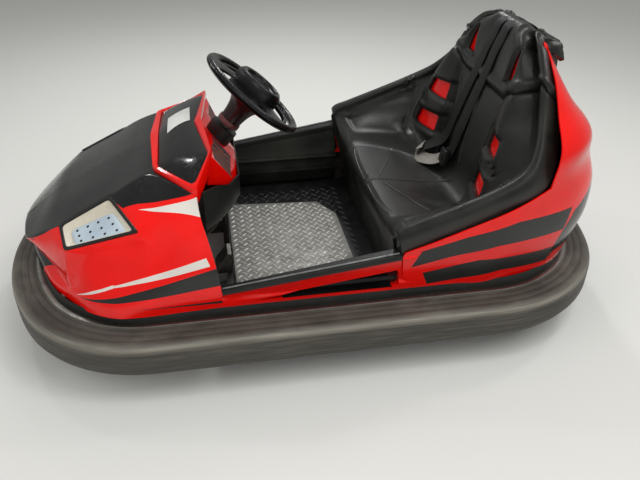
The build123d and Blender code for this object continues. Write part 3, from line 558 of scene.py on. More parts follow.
def half_plan(sign, end_r, corner_r, inset, count):
    """Points from the end of the car on the centre line to the straight side."""
    end_c = sign * (LENGTH / 2 - end_r)
    rise = WIDTH / 2 - corner_r
    run = sqrt((end_r - corner_r) ** 2 - rise ** 2)
    angle = atan2(rise, run)
    first = [(end_c + sign * (end_r - inset) * cos(t), (end_r - inset) * sin(t))
             for t in np.linspace(0, angle, count)]
    corner_c = end_c + sign * run
    second = [(corner_c + sign * (corner_r - inset) * cos(t), rise + (corner_r - inset) * sin(t))
              for t in np.linspace(angle, pi / 2, count)[1:]]
    return first + second


def plan(inset, count=22):
    """Closed plan line, moved in by inset, from the nose round the left side."""
    front = half_plan(1, FRONT_END_RADIUS, FRONT_CORNER_RADIUS, inset, count)
    rear = half_plan(-1, REAR_END_RADIUS, REAR_CORNER_RADIUS, inset, count)
    side = [(x, WIDTH / 2 - inset) for x in np.linspace(front[-1][0], rear[-1][0], 20)[1:-1]]
    left = front + side + rear[::-1]
    return left + [(x, -y) for x, y in left[-2:0:-1]]


def ring(name, section):
    """Ring round the car from (inset, z) points."""
    grid = np.array([[(x, y, z) for x, y in plan(inset)] for inset, z in section])
    return sheet(name, np.swapaxes(grid, 0, 1), closed=True, round_across=True)


# Rubber section: top with shallow grooves, crease, upright face, rounded lower edge
BUMPER_TOP = ((0.098, 0.220), (0.078, 0.2195), (0.0755, 0.2175), (0.073, 0.219), (0.058, 0.2178),
              (0.0555, 0.2158), (0.053, 0.2173), (0.036, 0.2158), (0.0335, 0.2138), (0.031, 0.2153),
              (0.020, 0.2145), (0.010, 0.212), (0.0035, 0.2055), (0.001, 0.1980))
BUMPER_SIDE = ((0.000, 0.188), (0.0008, 0.160), (0.002, 0.134), (0.005, 0.124), (0.016, 0.106),
               (0.030, 0.0935), (0.045, 0.092), (0.098, 0.092))
CLAMP_STRIP = ((0.0985, 0.2205), (0.0985, 0.2245), (0.094, 0.2255), (0.082, 0.2235), (0.080, 0.2205))
# Black band closing the gap between the rim and the bodies: painted shade where the gap lies in shadow
GAP_SHADE_BAND = ((0.0985, 0.2262), (0.1075, 0.2262), (0.1075, 0.248), (0.1030, 0.252), (0.0985, 0.246))


def bumper():
    """Rubber ring bumper, the bright clamp strip on top of it, and behind the strip a black band of painted
    shade that fills the gap under the bodies.
    """
    declare(ring("bumper_rubber", BUMPER_TOP + BUMPER_SIDE), [RUBBER], ["bumper_ring"], 50)
    declare(ring("rim_strip", CLAMP_STRIP), [BRIGHT])
    declare(ring("rim_gap_shade", GAP_SHADE_BAND), [TRIM_AND_SHADE])


bumper()


# Front moulding: rows from the rear edge to the nose. Columns: foot, low crease, side (mouth recess at
# the nose), shoulder (mouth lip), lamp outer line, hood edge, hood inner, centre line
FRONT_ROWS = (
    ((0.300, 0.500, 0.246), (0.304, 0.507, 0.290), (0.313, 0.500, 0.378), (0.330, 0.466, 0.455),
     (0.345, 0.425, 0.500), (0.352, 0.372, 0.546), (0.353, 0.200, 0.566), (0.353, 0, 0.572)),
    ((0.410, 0.502, 0.246), (0.410, 0.508, 0.288), (0.410, 0.497, 0.365), (0.412, 0.464, 0.440),
     (0.412, 0.420, 0.492), (0.412, 0.310, 0.556), (0.412, 0.180, 0.568), (0.412, 0, 0.571)),
    ((0.480, 0.504, 0.246), (0.480, 0.508, 0.286), (0.478, 0.492, 0.352), (0.475, 0.458, 0.425),
     (0.472, 0.416, 0.480), (0.480, 0.248, 0.563), (0.480, 0.120, 0.567), (0.480, 0, 0.568)),
    ((0.540, 0.505, 0.246), (0.540, 0.504, 0.283), (0.536, 0.484, 0.340), (0.528, 0.452, 0.402),
     (0.519, 0.420, 0.472), (0.540, 0.252, 0.541), (0.540, 0.130, 0.545), (0.540, 0, 0.547)),
    ((0.605, 0.497, 0.246), (0.605, 0.492, 0.280), (0.602, 0.468, 0.330), (0.598, 0.436, 0.385),
     (0.592, 0.398, 0.449), (0.600, 0.260, 0.508), (0.600, 0.130, 0.518), (0.600, 0, 0.522)),
    ((0.680, 0.454, 0.246), (0.678, 0.448, 0.277), (0.674, 0.428, 0.315), (0.670, 0.402, 0.360),
     (0.665, 0.379, 0.424), (0.680, 0.266, 0.468), (0.680, 0.130, 0.479), (0.680, 0, 0.483)),
    ((0.750, 0.372, 0.246), (0.748, 0.368, 0.272), (0.742, 0.352, 0.293), (0.744, 0.352, 0.322),
     (0.731, 0.360, 0.400), (0.751, 0.270, 0.431), (0.752, 0.140, 0.444), (0.752, 0, 0.447)),
    ((0.808, 0.288, 0.246), (0.805, 0.284, 0.268), (0.780, 0.262, 0.290), (0.797, 0.286, 0.314),
     (0.790, 0.292, 0.362), (0.806, 0.232, 0.398), (0.800, 0.130, 0.420), (0.790, 0, 0.430)),
    ((0.862, 0.160, 0.246), (0.859, 0.157, 0.266), (0.832, 0.138, 0.290), (0.860, 0.162, 0.314),
     (0.870, 0.170, 0.332), (0.879, 0.172, 0.345), (0.848, 0.085, 0.384), (0.830, 0, 0.400)),
    ((0.894, 0.068, 0.246), (0.891, 0.066, 0.266), (0.862, 0.058, 0.290), (0.887, 0.068, 0.310),
     (0.896, 0.076, 0.326), (0.904, 0.078, 0.338), (0.882, 0.042, 0.360), (0.862, 0, 0.376)),
    ((0.903, 0, 0.246), (0.900, 0, 0.266), (0.870, 0, 0.290), (0.895, 0, 0.310),
     (0.905, 0, 0.326), (0.912, 0, 0.337), (0.902, 0, 0.347), (0.888, 0, 0.358)),
)
SHELL_WALL = 0.004
THIN_WALL = 0.003
LAMP_FLAT = 0.014
LAMP_OPENING = 0.955
CREASE_RADII = (0.02, 0.03, 0.03, 0.03, 0.006, 0.05)
LAMP = ((0.599, 0.260, 0.506), (0.519, 0.420, 0.474), (0.731, 0.360, 0.402), (0.751, 0.270, 0.431))

# Graphics on the front, and a band of painted shade under its low crease, seen from the side (x, z) or from
# above (x, y)
HOOD_EDGE = ((0.915, 0), (0.908, 0.084), (0.884, 0.174), (0.806, 0.237), (0.751, 0.272), (0.599, 0.264),
             (0.560, 0.322), (0.352, 0.364), (0.30, 0.36), (0.30, 0))
UPPER_WEDGE = ((0.582, 0.322), (0.350, 0.376), (0.300, 0.384), (0.300, 0.430), (0.346, 0.420))
LOWER_WEDGE = (((0.718, 0.277), (0.664, 0.308), (0.600, 0.337), (0.600, 0.329)),
               ((0.602, 0.336), (0.483, 0.369), (0.340, 0.411), (0.330, 0.386), (0.450, 0.361),
                (0.602, 0.3285)))
DARK_WEDGE = ((0.706, 0.277), (0.317, 0.379), (0.280, 0.388), (0.280, 0.330))
# Painted shade: a dark band under the low crease, where the side's recess runs forward in shadow
CREASE_SHADE_WEDGE = ((0.560, 0.272), (0.280, 0.276), (0.280, 0.266))


def fan(outline):
    """Convex pieces of an outline that all end on the centre line of the car."""
    return [(p, q, (q[0], 0.0), (p[0], 0.0)) for p, q in zip(outline, outline[1:])
            if abs(p[0] - q[0]) > NIL]


def lamp_height(x, y):
    """Height of the lamp's plane above a place in plan."""
    a, b, d = (Vector(LAMP[i]) for i in (0, 1, 3))
    slope = (b - a).cross(d - a)
    return a.z - (slope.x * (x - a.x) + slope.y * (y - a.y)) / slope.z


def front_moulding():
    """Red front body with the black hood, its stripes, painted shade under its low crease, the lamp openings,
    and its open underside.
    """
    hood, white, dark, inside, hole = 1, 2, 3, 4, 5
    lines = np.array([rounded(row, CREASE_RADII, 5, 4) for row in FRONT_ROWS])
    grid = catmull(lines, 8)[:, ::-1]
    x, y, z = (grid[..., k] for k in range(3))
    near = fading(outside([corner[:2] for corner in LAMP], x, y), LAMP_FLAT)
    grid[..., 2] = z + (lamp_height(x, y) - z) * near
    skin = sheet("front_moulding", both_sides(grid))
    facing_out(skin, (0.55, 0, 0.1))

    def upward(face):
        return face.normal.z > 0.15

    def on_flank(face):
        return abs(face.normal.y) > 0.3 and face.calc_center_median().z < 0.45

    for part in fan(HOOD_EDGE):
        for sign in (1, -1):
            mark(skin, (0, 1), [(x, sign * y) for x, y in part], hood, upward)
    opening = softened(lamp_opening(LAMP_OPENING), 0.02)
    for sign in (1, -1):
        mark(skin, (0, 1), [(x, sign * y) for x, y in UPPER_WEDGE], white,
             lambda face: face.calc_center_median().z > 0.43)
        mark(skin, (0, 1), [(x, sign * y) for x, y in opening], hole, upward)
    for part in LOWER_WEDGE:
        mark(skin, (0, 2), part, white, on_flank)
    mark(skin, (0, 2), DARK_WEDGE, dark, on_flank)
    # Painted shade under the low crease
    mark(skin, (0, 2), CREASE_SHADE_WEDGE, dark, on_flank)
    cut_out(skin, hole)
    walled(skin, SHELL_WALL, inside)
    declare(skin, [RED, BLACK, WHITE, DARK_STRIPE_AND_SHADE, INSIDE], ["front_body", "hood_panel"], 45)


def lamp_opening(scale):
    """Lamp outline in plan, scaled about its middle."""
    middle = np.mean(LAMP, axis=0)
    return [tuple((middle + (np.array(p) - middle) * scale)[:2]) for p in LAMP]


front_moulding()


def on_lamp(u, v, rise):
    """Place on the lamp: u from its front end to its rear, v from the hood side outwards, and a rise."""
    a, b, c, d = (Vector(p) for p in LAMP)
    place = d.lerp(a, u).lerp(c.lerp(b, u), v)
    normal = (b - a).cross(d - a).normalized()
    return place + normal * (rise if normal.z > 0 else -rise)


def lamp_loop(inset, rise, corner=0.012, window=(0, 1, 0, 1)):
    """Closed line on the lamp, moved in from the edges of a window of it, with rounded corners."""
    u0, u1, v0, v1 = window
    flat = [np.array(on_lamp(u, v, 0)) for u, v in ((u0, v0), (u1, v0), (u1, v1), (u0, v1))]
    lift = np.array(on_lamp(0, 0, rise)) - np.array(on_lamp(0, 0, 0))
    inner = []
    for i, here in enumerate(flat):
        back, on, spread = corner_ways(flat, i)
        inner.append(here + (back + on) * inset / max(spread, 0.2) + lift)
    return np.array(softened(inner, corner, (0, 0.25, 0.5, 0.75, 1)))


# Plate of small lights: its window on the lamp, its depth, and the lights along and across it
LED_WINDOW = (0.15, 0.88, 0.34, 0.92)
LED_DEPTH = -0.0022
LEDS_ALONG = (0.14, 0.38, 0.62, 0.86)
LEDS_ACROSS = (0.18, 0.5, 0.82)
LED_SIZE = (0.0042, 0.0042, 0.0018)


def lamp_skins():
    """Skins of a headlamp: thin edge, cream tray, and a plate of small lights low on its outer side."""
    edge = [lamp_loop(-0.003, -0.012), lamp_loop(-0.003, 0.002), lamp_loop(-0.001, 0.0045),
            lamp_loop(0.005, 0.0045), lamp_loop(0.007, 0.002), lamp_loop(0.007, -0.006)]
    tray = [lamp_loop(0.0068, 0.001), lamp_loop(0.010, -0.001)]
    tray += [lamp_loop(inset, rise, 0.016) for inset, rise in
             ((0.022, -0.007), (0.035, -0.0075), (0.048, -0.0075))]
    plate = [lamp_loop(inset, rise, corner, LED_WINDOW) for inset, rise, corner in
             ((0.0, -0.0075, 0.018), (0.0, -0.0035, 0.018), (0.002, LED_DEPTH, 0.017),
              (0.012, LED_DEPTH, 0.010), (0.024, LED_DEPTH, 0.010))]
    return (("lamp_edge", edge, "lamp_frame", TRIM_AND_SHADE, ["headlamp_frames"]),
            ("lamp_tray", tray, "lens", REFLECTOR, ["headlamp_lenses"]),
            ("lamp_plate", plate, "lens", LED, []))


def fill_middle(obj, last_loop):
    """Closes a skin inside its last loop."""
    places = [Vector(point) for point in last_loop]
    with editing(obj) as bm:
        rim = [e for e in bm.edges if e.is_boundary
               and all(min((v.co - place).length for place in places) < 1e-4 for v in e.verts)]
        bmesh.ops.holes_fill(bm, edges=rim)


def headlamps():
    """Both headlamps, with their small lights as studs."""
    for name, rows, slot, material, nodes in lamp_skins():
        left = sheet(name + "_left", rows, round_across=True)
        if name != "lamp_edge":
            fill_middle(left, rows[-1])
        facing_out(left, (0.6, 0.3, 0.2))
        pair(left, [material], nodes, nodes)
    studs = []
    turn = on_lamp(0, 0, 1) - on_lamp(0, 0, 0)
    other_side = Vector((1, -1, 1))
    u0, u1, v0, v1 = LED_WINDOW
    for u in LEDS_ALONG:
        for v in LEDS_ACROSS:
            spot = on_lamp(u0 + (u1 - u0) * u, v0 + (v1 - v0) * v, LED_DEPTH)
            studs += [(spot, turn), (spot * other_side, turn * other_side)]
    repeat("lamp_emitters", studs, "stud", LED_SIZE, TRIM_AND_SHADE)


headlamps()


# Fairing: corners of its left half. Front centre, front corner, rear lower corner, rear top, rim centre
FAIRING = ((0.483, 0, 0.585), (0.470, 0.228, 0.574), (0.352, 0.372, 0.558), (0.299, 0.262, 0.628),
           (0.322, 0, 0.628))
FAIRING_MIDDLE = np.array((0.395, 0, 0.600))
FAIRING_CORNER = 0.020
FAIRING_CROWN = 0.016
PLATE_CORNERS = ((0.427, 0.050), (0.427, -0.080), (0.357, -0.130), (0.357, -0.006))


def fairing_line(inset=0.0, drop=0.0):
    """Closed outline of the fairing, moved in from its edge."""
    left = np.array(FAIRING)
    corners = np.concatenate((left, left[3:0:-1] * (1, -1, 1)))
    moved = []
    for i, here in enumerate(corners):
        back, on, spread = corner_ways(corners, i)
        middle_way = (FAIRING_MIDDLE - here) / np.linalg.norm(FAIRING_MIDDLE - here)
        inward = back + on if spread > 0.2 else middle_way
        moved.append(here + inward * inset / max(spread, 0.55) - np.array((0, 0, drop)))
    return np.array(softened(moved, FAIRING_CORNER, np.linspace(0, 1, 6)))


def across(line, y):
    """Front and rear places where a closed outline crosses a width."""
    met = []
    for p, q in zip(line, np.roll(line, -1, 0)):
        if (p[1] - y) * (q[1] - y) <= 0 and abs(p[1] - q[1]) > 1e-9:
            met.append(p + (q - p) * (y - p[1]) / (q[1] - p[1]))
    met.sort(key=lambda point: point[0])
    return met[-1], met[0]


def fairing():
    """Red edge moulding round a glossy black panel, with a blank plate on it."""
    rows = [fairing_line(0.002, 0.05), fairing_line(-0.002, 0.004), fairing_line(0.0, -0.004),
            fairing_line(0.008, -0.006), fairing_line(0.013, -0.001), fairing_line(0.014, 0.014)]
    edge = sheet("fairing_edge", rows, round_across=True)
    facing_out(edge, (0.4, 0, 0.5))
    walled(edge, THIN_WALL)
    declare(edge, [RED], ["fairing_rim"])
    line = fairing_line(0.012, 0.003)
    half = line[:, 1].max() - 1e-4
    grid = []
    for y in np.sin(np.linspace(-pi / 2, pi / 2, 49)) * half:
        ahead, behind = across(line, y)
        crown = FAIRING_CROWN * (1 - (y / half) ** 2)
        grid.append([ahead + (behind - ahead) * s + np.array((0, 0, 4 * crown * s * (1 - s)))
                     for s in np.linspace(0, 1, 17)])
    panel = sheet("fairing_glass", grid)
    facing_out(panel, (0.4, 0, 0.5))
    surface = BVHTree.FromObject(panel, bpy.context.evaluated_depsgraph_get())
    walled(panel, THIN_WALL)
    declare(panel, [BLACK], ["fairing_panel"])
    a, b, c, d = (np.array(corner) for corner in PLATE_CORNERS)
    spots = [[(*((a * (1 - u) + b * u) * (1 - v) + (d * (1 - u) + c * u) * v), 0.8)
              for u in np.linspace(0, 1, 9)] for v in np.linspace(0, 1, 7)]
    net = [[hit[0] for hit in laid(surface, row, (0, 0, -1), 0.0025)] for row in spots]
    plate = sheet("blank_plate", net)
    facing_out(plate, (0.4, 0, 0.5))
    declare(walled(plate, 0.001), [PLATE])


def laid(surface, places, way, lift=0.0005):
    """Points on a surface, met from each place along one direction, with the way the surface faces there."""
    hits = [surface.ray_cast(Vector(place), Vector(way).normalized()) for place in places]
    return [(hit[0] + hit[1] * lift, hit[1]) for hit in hits if hit[0]]


fairing()


# Dash: facets of the red V below the fairing, left half
DASH_TOP = ((0.318, 0, 0.612), (0.310, 0.13, 0.612), (0.299, 0.252, 0.606))
DASH_LOW = ((0.222, 0, 0.510), (0.222, 0.045, 0.497), (0.224, 0.150, 0.457))
DASH_TIP = (0.318, 0.262, 0.520)
# Decal on the left half of the dash, as (y, z)
DASH_DECAL = ((0.05, 0.585), (0.235, 0.592), (0.165, 0.490), (0.062, 0.520))
# Housing below the dash, as x, lowest height, half width and top height
HOUSING_ROWS = ((0.224, 0.392, 0.150, 0.500), (0.256, 0.376, 0.225, 0.505), (0.296, 0.366, 0.290, 0.535),
                (0.336, 0.360, 0.335, 0.540))


def dash():
    """Red V-shaped dash with its decal."""
    faces = [(0, 3, 4, 1), (1, 4, 5), (1, 5, 2), (2, 5, 6)]
    left = solid("dash_left", [*DASH_TOP, *DASH_LOW, DASH_TIP], faces)
    face = joined("dash_face", [left, mirrored(left, "dash_right")])
    tidy(face)
    facing_out(face, (0.5, 0, 0.5))
    decal = 1
    for sign in (1, -1):
        mark(face, (1, 2), [(sign * y, z) for y, z in DASH_DECAL], decal)
    walled(face, 0.006)
    bevelled(face, 0.004)
    declare(face, [RED, DECAL], ["dash_console"])


def dash_housing():
    """Black housing below the dash, closed at its rear end."""
    rows = []
    for x, low, half, top in HOUSING_ROWS:
        line = [(x, 0, low), (x, half * 0.75, low + 0.008), (x, half, low + 0.05), (x, half + 0.01, top)]
        rows.append(rounded(line, 0.03, 3, 3))
    cover = sheet("dash_housing", both_sides(rows))
    end = sheet("dash_housing_end", both_sides([rows[0], rows[0] * (0, 0.9, 0) + (0.222, 0, 0.49)]))
    cover = joined("dash_housing", [cover, end])
    tidy(cover)
    walled(cover, SHELL_WALL)
    declare(cover, [TRIM_AND_SHADE], ["dash_cover"])


def decal_print():
    """Printed vinyl: navy ground with a plain band of orange and yellow waves."""
    material, tree, inputs, place = finish("dash_vinyl", "#1a1c4e", 0.6)
    wave = add(tree, "ShaderNodeTexWave", [("Vector", place)], wave_type="BANDS", bands_direction="Y",
               Scale_=16.0, Distortion_=5.0, Detail_=1.5, Detail_Scale_=2.0)["Fac"]
    bands = [(0.0, "#14163f"), (0.60, "#14163f"), (0.68, "#e05a18"), (0.80, "#efae34"), (0.92, "#14163f")]
    tint = add(tree, "ShaderNodeValToRGB", [("Fac", wave)], bands)["Color"]
    feed(tree, inputs, Base_Color=tint)
    return material


DECAL = decal_print()
dash()
dash_housing()


# Steering: the column's own frame, z towards the driver

WHEEL_CENTRE = Vector((0.153, 0, 0.700))
COLUMN_LEAN = radians(42.5)
LEAN_COS = cos(COLUMN_LEAN)
LEAN_SIN = sin(COLUMN_LEAN)
COLUMN_TURN = Matrix(((LEAN_COS, 0, -LEAN_SIN), (0, 1, 0), (LEAN_SIN, 0, LEAN_COS)))
COLUMN_FRAME = Matrix.Translation(WHEEL_CENTRE) @ COLUMN_TURN.to_4x4()
GRIP_RADIUS = 0.164
GRIP_HALF_WIDTH = 0.014
GRIP_HALF_DEPTH = 0.0125
SPOKE_BOW = 0.003
SPOKE_WALL = 0.008
INNER_RING = ((0.128, 0.000), (0.136, 0.003), (0.140, -0.001), (0.138, -0.010), (0.130, -0.012))
# Spoke rows as radius, half width and rise; hub, trumpet and clamp as (radius, height)
SPOKE_ROWS = ((0.074, 0.030, 0.004), (0.100, 0.026, 0.002), (0.130, 0.034, 0.000), (0.158, 0.052, 0.000))
HUB = ((0.0005, 0.036), (0.054, 0.036), (0.060, 0.047), (0.070, 0.049), (0.081, 0.036), (0.083, -0.010),
       (0.0005, -0.012))
TRUMPET = ((0.0835, -0.013), (0.0800, -0.020), (0.0600, -0.034), (0.0445, -0.056), (0.0370, -0.084),
           (0.0340, -0.110), (0.0330, -0.131))
COLUMN_CLAMP = ((0.0335, -0.112), (0.0375, -0.112), (0.0375, -0.128), (0.0335, -0.128))


def turned(name, profile, sides):
    """Solid of revolution on the steering column from (radius, height) points."""
    angles = np.arange(sides) / sides * 2 * pi
    grid = [np.stack((r * np.cos(angles), r * np.sin(angles), np.full(sides, h)), 1) for r, h in profile]
    obj = sheet(name, grid, round_across=True)
    obj.data.transform(COLUMN_FRAME)
    tidy(obj)
    return obj


def spoke(middle):
    """Flat web of the steering wheel, widening towards the rim, round a middle angle."""
    rows = []
    for r, half, rise in SPOKE_ROWS:
        angles = middle + np.linspace(-1, 1, 9) * half / r
        rows.append([(r * cos(t), r * sin(t), rise + SPOKE_BOW * cos((t - middle) * r / half * pi / 2))
                     for t in angles])
    web = sheet("web", catmull(rows, 4))
    web.data.transform(COLUMN_FRAME)
    return walled(web, SPOKE_WALL)


def steering():
    """Moulded wheel with three web spokes, a deep hub and the trumpet boot below it."""
    grip = [(GRIP_RADIUS + GRIP_HALF_WIDTH * cos(t), GRIP_HALF_DEPTH * sin(t))
            for t in np.linspace(0, 2 * pi, 17)[:-1]]
    parts = [turned("grip", grip, 96), turned("inner_ring", INNER_RING, 96)]
    parts += [spoke(middle) for middle in (0, 2 * pi / 3, 4 * pi / 3)]
    declare(joined("steering_grip", parts), [GRIP], ["steering_wheel"], body="steering")
    hub = turned("steering_boss", rounded(HUB, 0.004, 3, 3), 96)
    declare(hub, [GRIP], ["steering_hub"], body="steering")
    boot = turned("steering_trumpet", catmull(TRUMPET, 4), 64)
    declare(walled(boot, THIN_WALL), [MAROON], ["steering_boot"], body="steering")
    clamp = turned("column_clamp", rounded(COLUMN_CLAMP, 0.001, 2, 2), 64)
    declare(clamp, [CLAMP], body="steering")


GRIP = grained("wheel_grip", "#0c0c0d", "#191918", 0.24, 1500.0, 0.0002)
CLAMP = gel_coat("clamp_ring", "#6a3a3a", "#4a2424", 0.25)
steering()


# Floor

FLOOR_UNDERSIDE = 0.126
FLOOR_TOP = 0.130
TREAD_TOP = 0.133
TREAD_CLEAR = [(0.248, -0.318), (0.248, 0.318), (-0.095, 0.290), (-0.146, 0.185), (-0.146, -0.185),
               (-0.095, -0.290)]
FLOOR_CLEAR = [(0.30, -0.345), (0.30, 0.345), (-0.095, 0.315), (-0.165, 0.195), (-0.165, -0.195),
               (-0.095, -0.315)]
TREAD_HALF = ((0.256, 0), (0.256, 0.318), (0.240, 0.334), (-0.095, 0.300), (-0.154, 0.190), (-0.154, 0))
BARS_X = (-0.2, 0.252)
BARS_Y = (-0.43, 0.44)
FLOOR_HALF = ((0.262, 0), (0.262, 0.497), (-0.330, 0.497), (-0.330, 0))


def on_tread(x, y):
    """True on the bright plate, clear of its edge."""
    return outside(TREAD_CLEAR, x, y) < 0


def on_floor(x, y):
    """True on the black floor round the bright plate."""
    return -0.20 < x < 0.25 and abs(y) < 0.430 and outside(FLOOR_CLEAR, x, y) > 0.006


def tread_bars(name, wanted, pitch, size, base, material):
    """Raised lens-shaped bars, turned alternately, over an area of the floor."""
    spots = []
    for i, x in enumerate(np.arange(*BARS_X, pitch / 2)):
        for j, y in enumerate(np.arange(*BARS_Y, pitch / 2)):
            if (i + j) % 2 == 0 and wanted(x, y):
                spots.append(((x, y, base), (0, 0, 1), radians(45 if i % 2 == 0 else -45)))
    repeat(name, spots, "lens", size, material)


def plate_from(name, outline, low, high, material, nodes):
    """Flat plate from half an outline that starts and ends on the centre line."""
    full = list(outline) + [(x, -y) for x, y in reversed(outline) if y]
    n = len(full)
    points = [(x, y, z) for z in (low, high) for x, y in full]
    faces = [tuple(range(n)), tuple(range(n, 2 * n))]
    faces += [(i, (i + 1) % n, (i + 1) % n + n, i + n) for i in range(n)]
    declare(bevelled(solid(name, points, faces), 0.001), [material], nodes)


plate_from("tread_sheet", TREAD_HALF, FLOOR_TOP, TREAD_TOP, TREAD, ["tread_plate"])
tread_bars("tread_bars", on_tread, 0.034, (0.0125, 0.0038, 0.0032), TREAD_TOP, TREAD_TOPS)
plate_from("floor_sheet", FLOOR_HALF, FLOOR_UNDERSIDE, FLOOR_TOP, FLOOR_BLACK, ["floor_pan"])
tread_bars("floor_bars", on_floor, 0.042, (0.0150, 0.0045, 0.0034), FLOOR_TOP, FLOOR_BARS)


# Sides

SIDE_FRONT = 0.305
SIDE_RUN = 0.55
SIDE_RISE = 0.078
# Side recess from outside, as (x, z)
SIDE_RECESS = ((0.240, 0.263), (-0.200, 0.262), (-0.208, 0.276), (-0.204, 0.316), (-0.188, 0.330),
               (0.100, 0.282))
RECESS_DEPTH = 0.022


def back_share(x):
    """How far back a place on the side is, from 0 in front to 1 behind."""
    return (SIDE_FRONT - x) / SIDE_RUN


def skirt_section(x):
    """Red side from its foot to below the sill."""
    t = back_share(x)
    top = 0.302 + SIDE_RISE * t
    out = 0.511 + 0.021 * t
    return [(x, 0.500, 0.246), (x, 0.507, 0.276), (x, 0.506 - 0.006 * t, 0.284),
            (x, 0.509 + 0.008 * t, top - 0.012), (x, out, top - 0.004), (x, out - 0.004, top)]


def side_skirts():
    """Red side skirts with their long recess."""
    left = sheet("side_skirt_left", [skirt_section(x) for x in np.linspace(0.306, -0.245, 30)])
    facing_out(left, (0, 0.2, 0.2))
    recess = 1
    mark(left, (0, 2), softened(SIDE_RECESS, 0.006), recess)
    with editing(left) as bm:
        faces = [f for f in bm.faces if f.material_index == recess]
        moved = bmesh.ops.extrude_face_region(bm, geom=faces)
        for v in moved["geom"]:
            if isinstance(v, bmesh.types.BMVert):
                v.co.y -= RECESS_DEPTH
        bmesh.ops.delete(bm, geom=faces, context="FACES")
    walled(left, THIN_WALL)
    pair(left, [RED, BLACK], ["side_panel_left"], ["side_panel_right"], 30)


def sill_section(x):
    """Black sill cap that folds over the top of the side."""
    t = back_share(x)
    z = 0.304 + SIDE_RISE * t
    out = 0.515 + 0.020 * t
    return rounded([(x, 0.478, z - 0.02), (x, 0.478, z + 0.004), (x, 0.486, z + 0.008),
                    (x, out - 0.006, z + 0.008), (x, out, z + 0.002), (x, out, z - 0.006),
                    (x, 0.500, z - 0.008)], 0.003, 2, 2)


def sills():
    """Black sill caps, each with a thin bright trim line along its crown, its pale grey partly a painted
    highlight.
    """
    cap = sheet("sill_cap_left", [sill_section(x) for x in np.linspace(0.304, -0.206, 16)])
    facing_out(cap, (0, 0.5, 0.3))
    walled(cap, 0.002)
    pair(cap, [TRIM_AND_SHADE], ["sill_trims"])
    crown = [(x, 0.5005 + 0.018 * back_share(x), 0.3135 + SIDE_RISE * back_share(x))
             for x in np.linspace(0.303, -0.2, 12)]
    pair(tube("sill_line_left", crown, 0.0032, 8, 0.7), [SILL_LINE_HIGHLIGHT])


def wall_section(x):
    """Stepped inner wall from the floor to the sill."""
    top = 0.300 + SIDE_RISE * back_share(x)
    return rounded([(x, 0.497, 0.130), (x, 0.474, 0.150), (x, 0.452, 0.196), (x, 0.446, 0.207),
                    (x, 0.470, 0.211), (x, 0.470, 0.250), (x, 0.440, 0.256), (x, 0.438, 0.264),
                    (x, 0.468, 0.268), (x, 0.479, top - 0.005), (x, 0.484, top)], 0.004, 2, 2)


def inner_walls():
    """Stepped inner walls beside the floor."""
    left = sheet("inner_wall_left", [wall_section(x) for x in np.linspace(0.282, -0.2, 24)])
    facing_out(left, (0, 0.7, 0.2))
    walled(left, THIN_WALL)
    pair(left, [SILL_BLACK], ["inner_sill_left"], ["inner_sill_right"])


# Sill line: a thin trim along the crown whose pale grey is partly a painted highlight
SILL_LINE_HIGHLIGHT = brushed("sill_line_painted_highlight", "#8f918f", "#5f605e", 0.35, 0.4)
SILL_BLACK = grained("sill_moulding", "#181917", "#35362f", 0.4, 500.0, 0.0008)
side_skirts()
sills()
inner_walls()


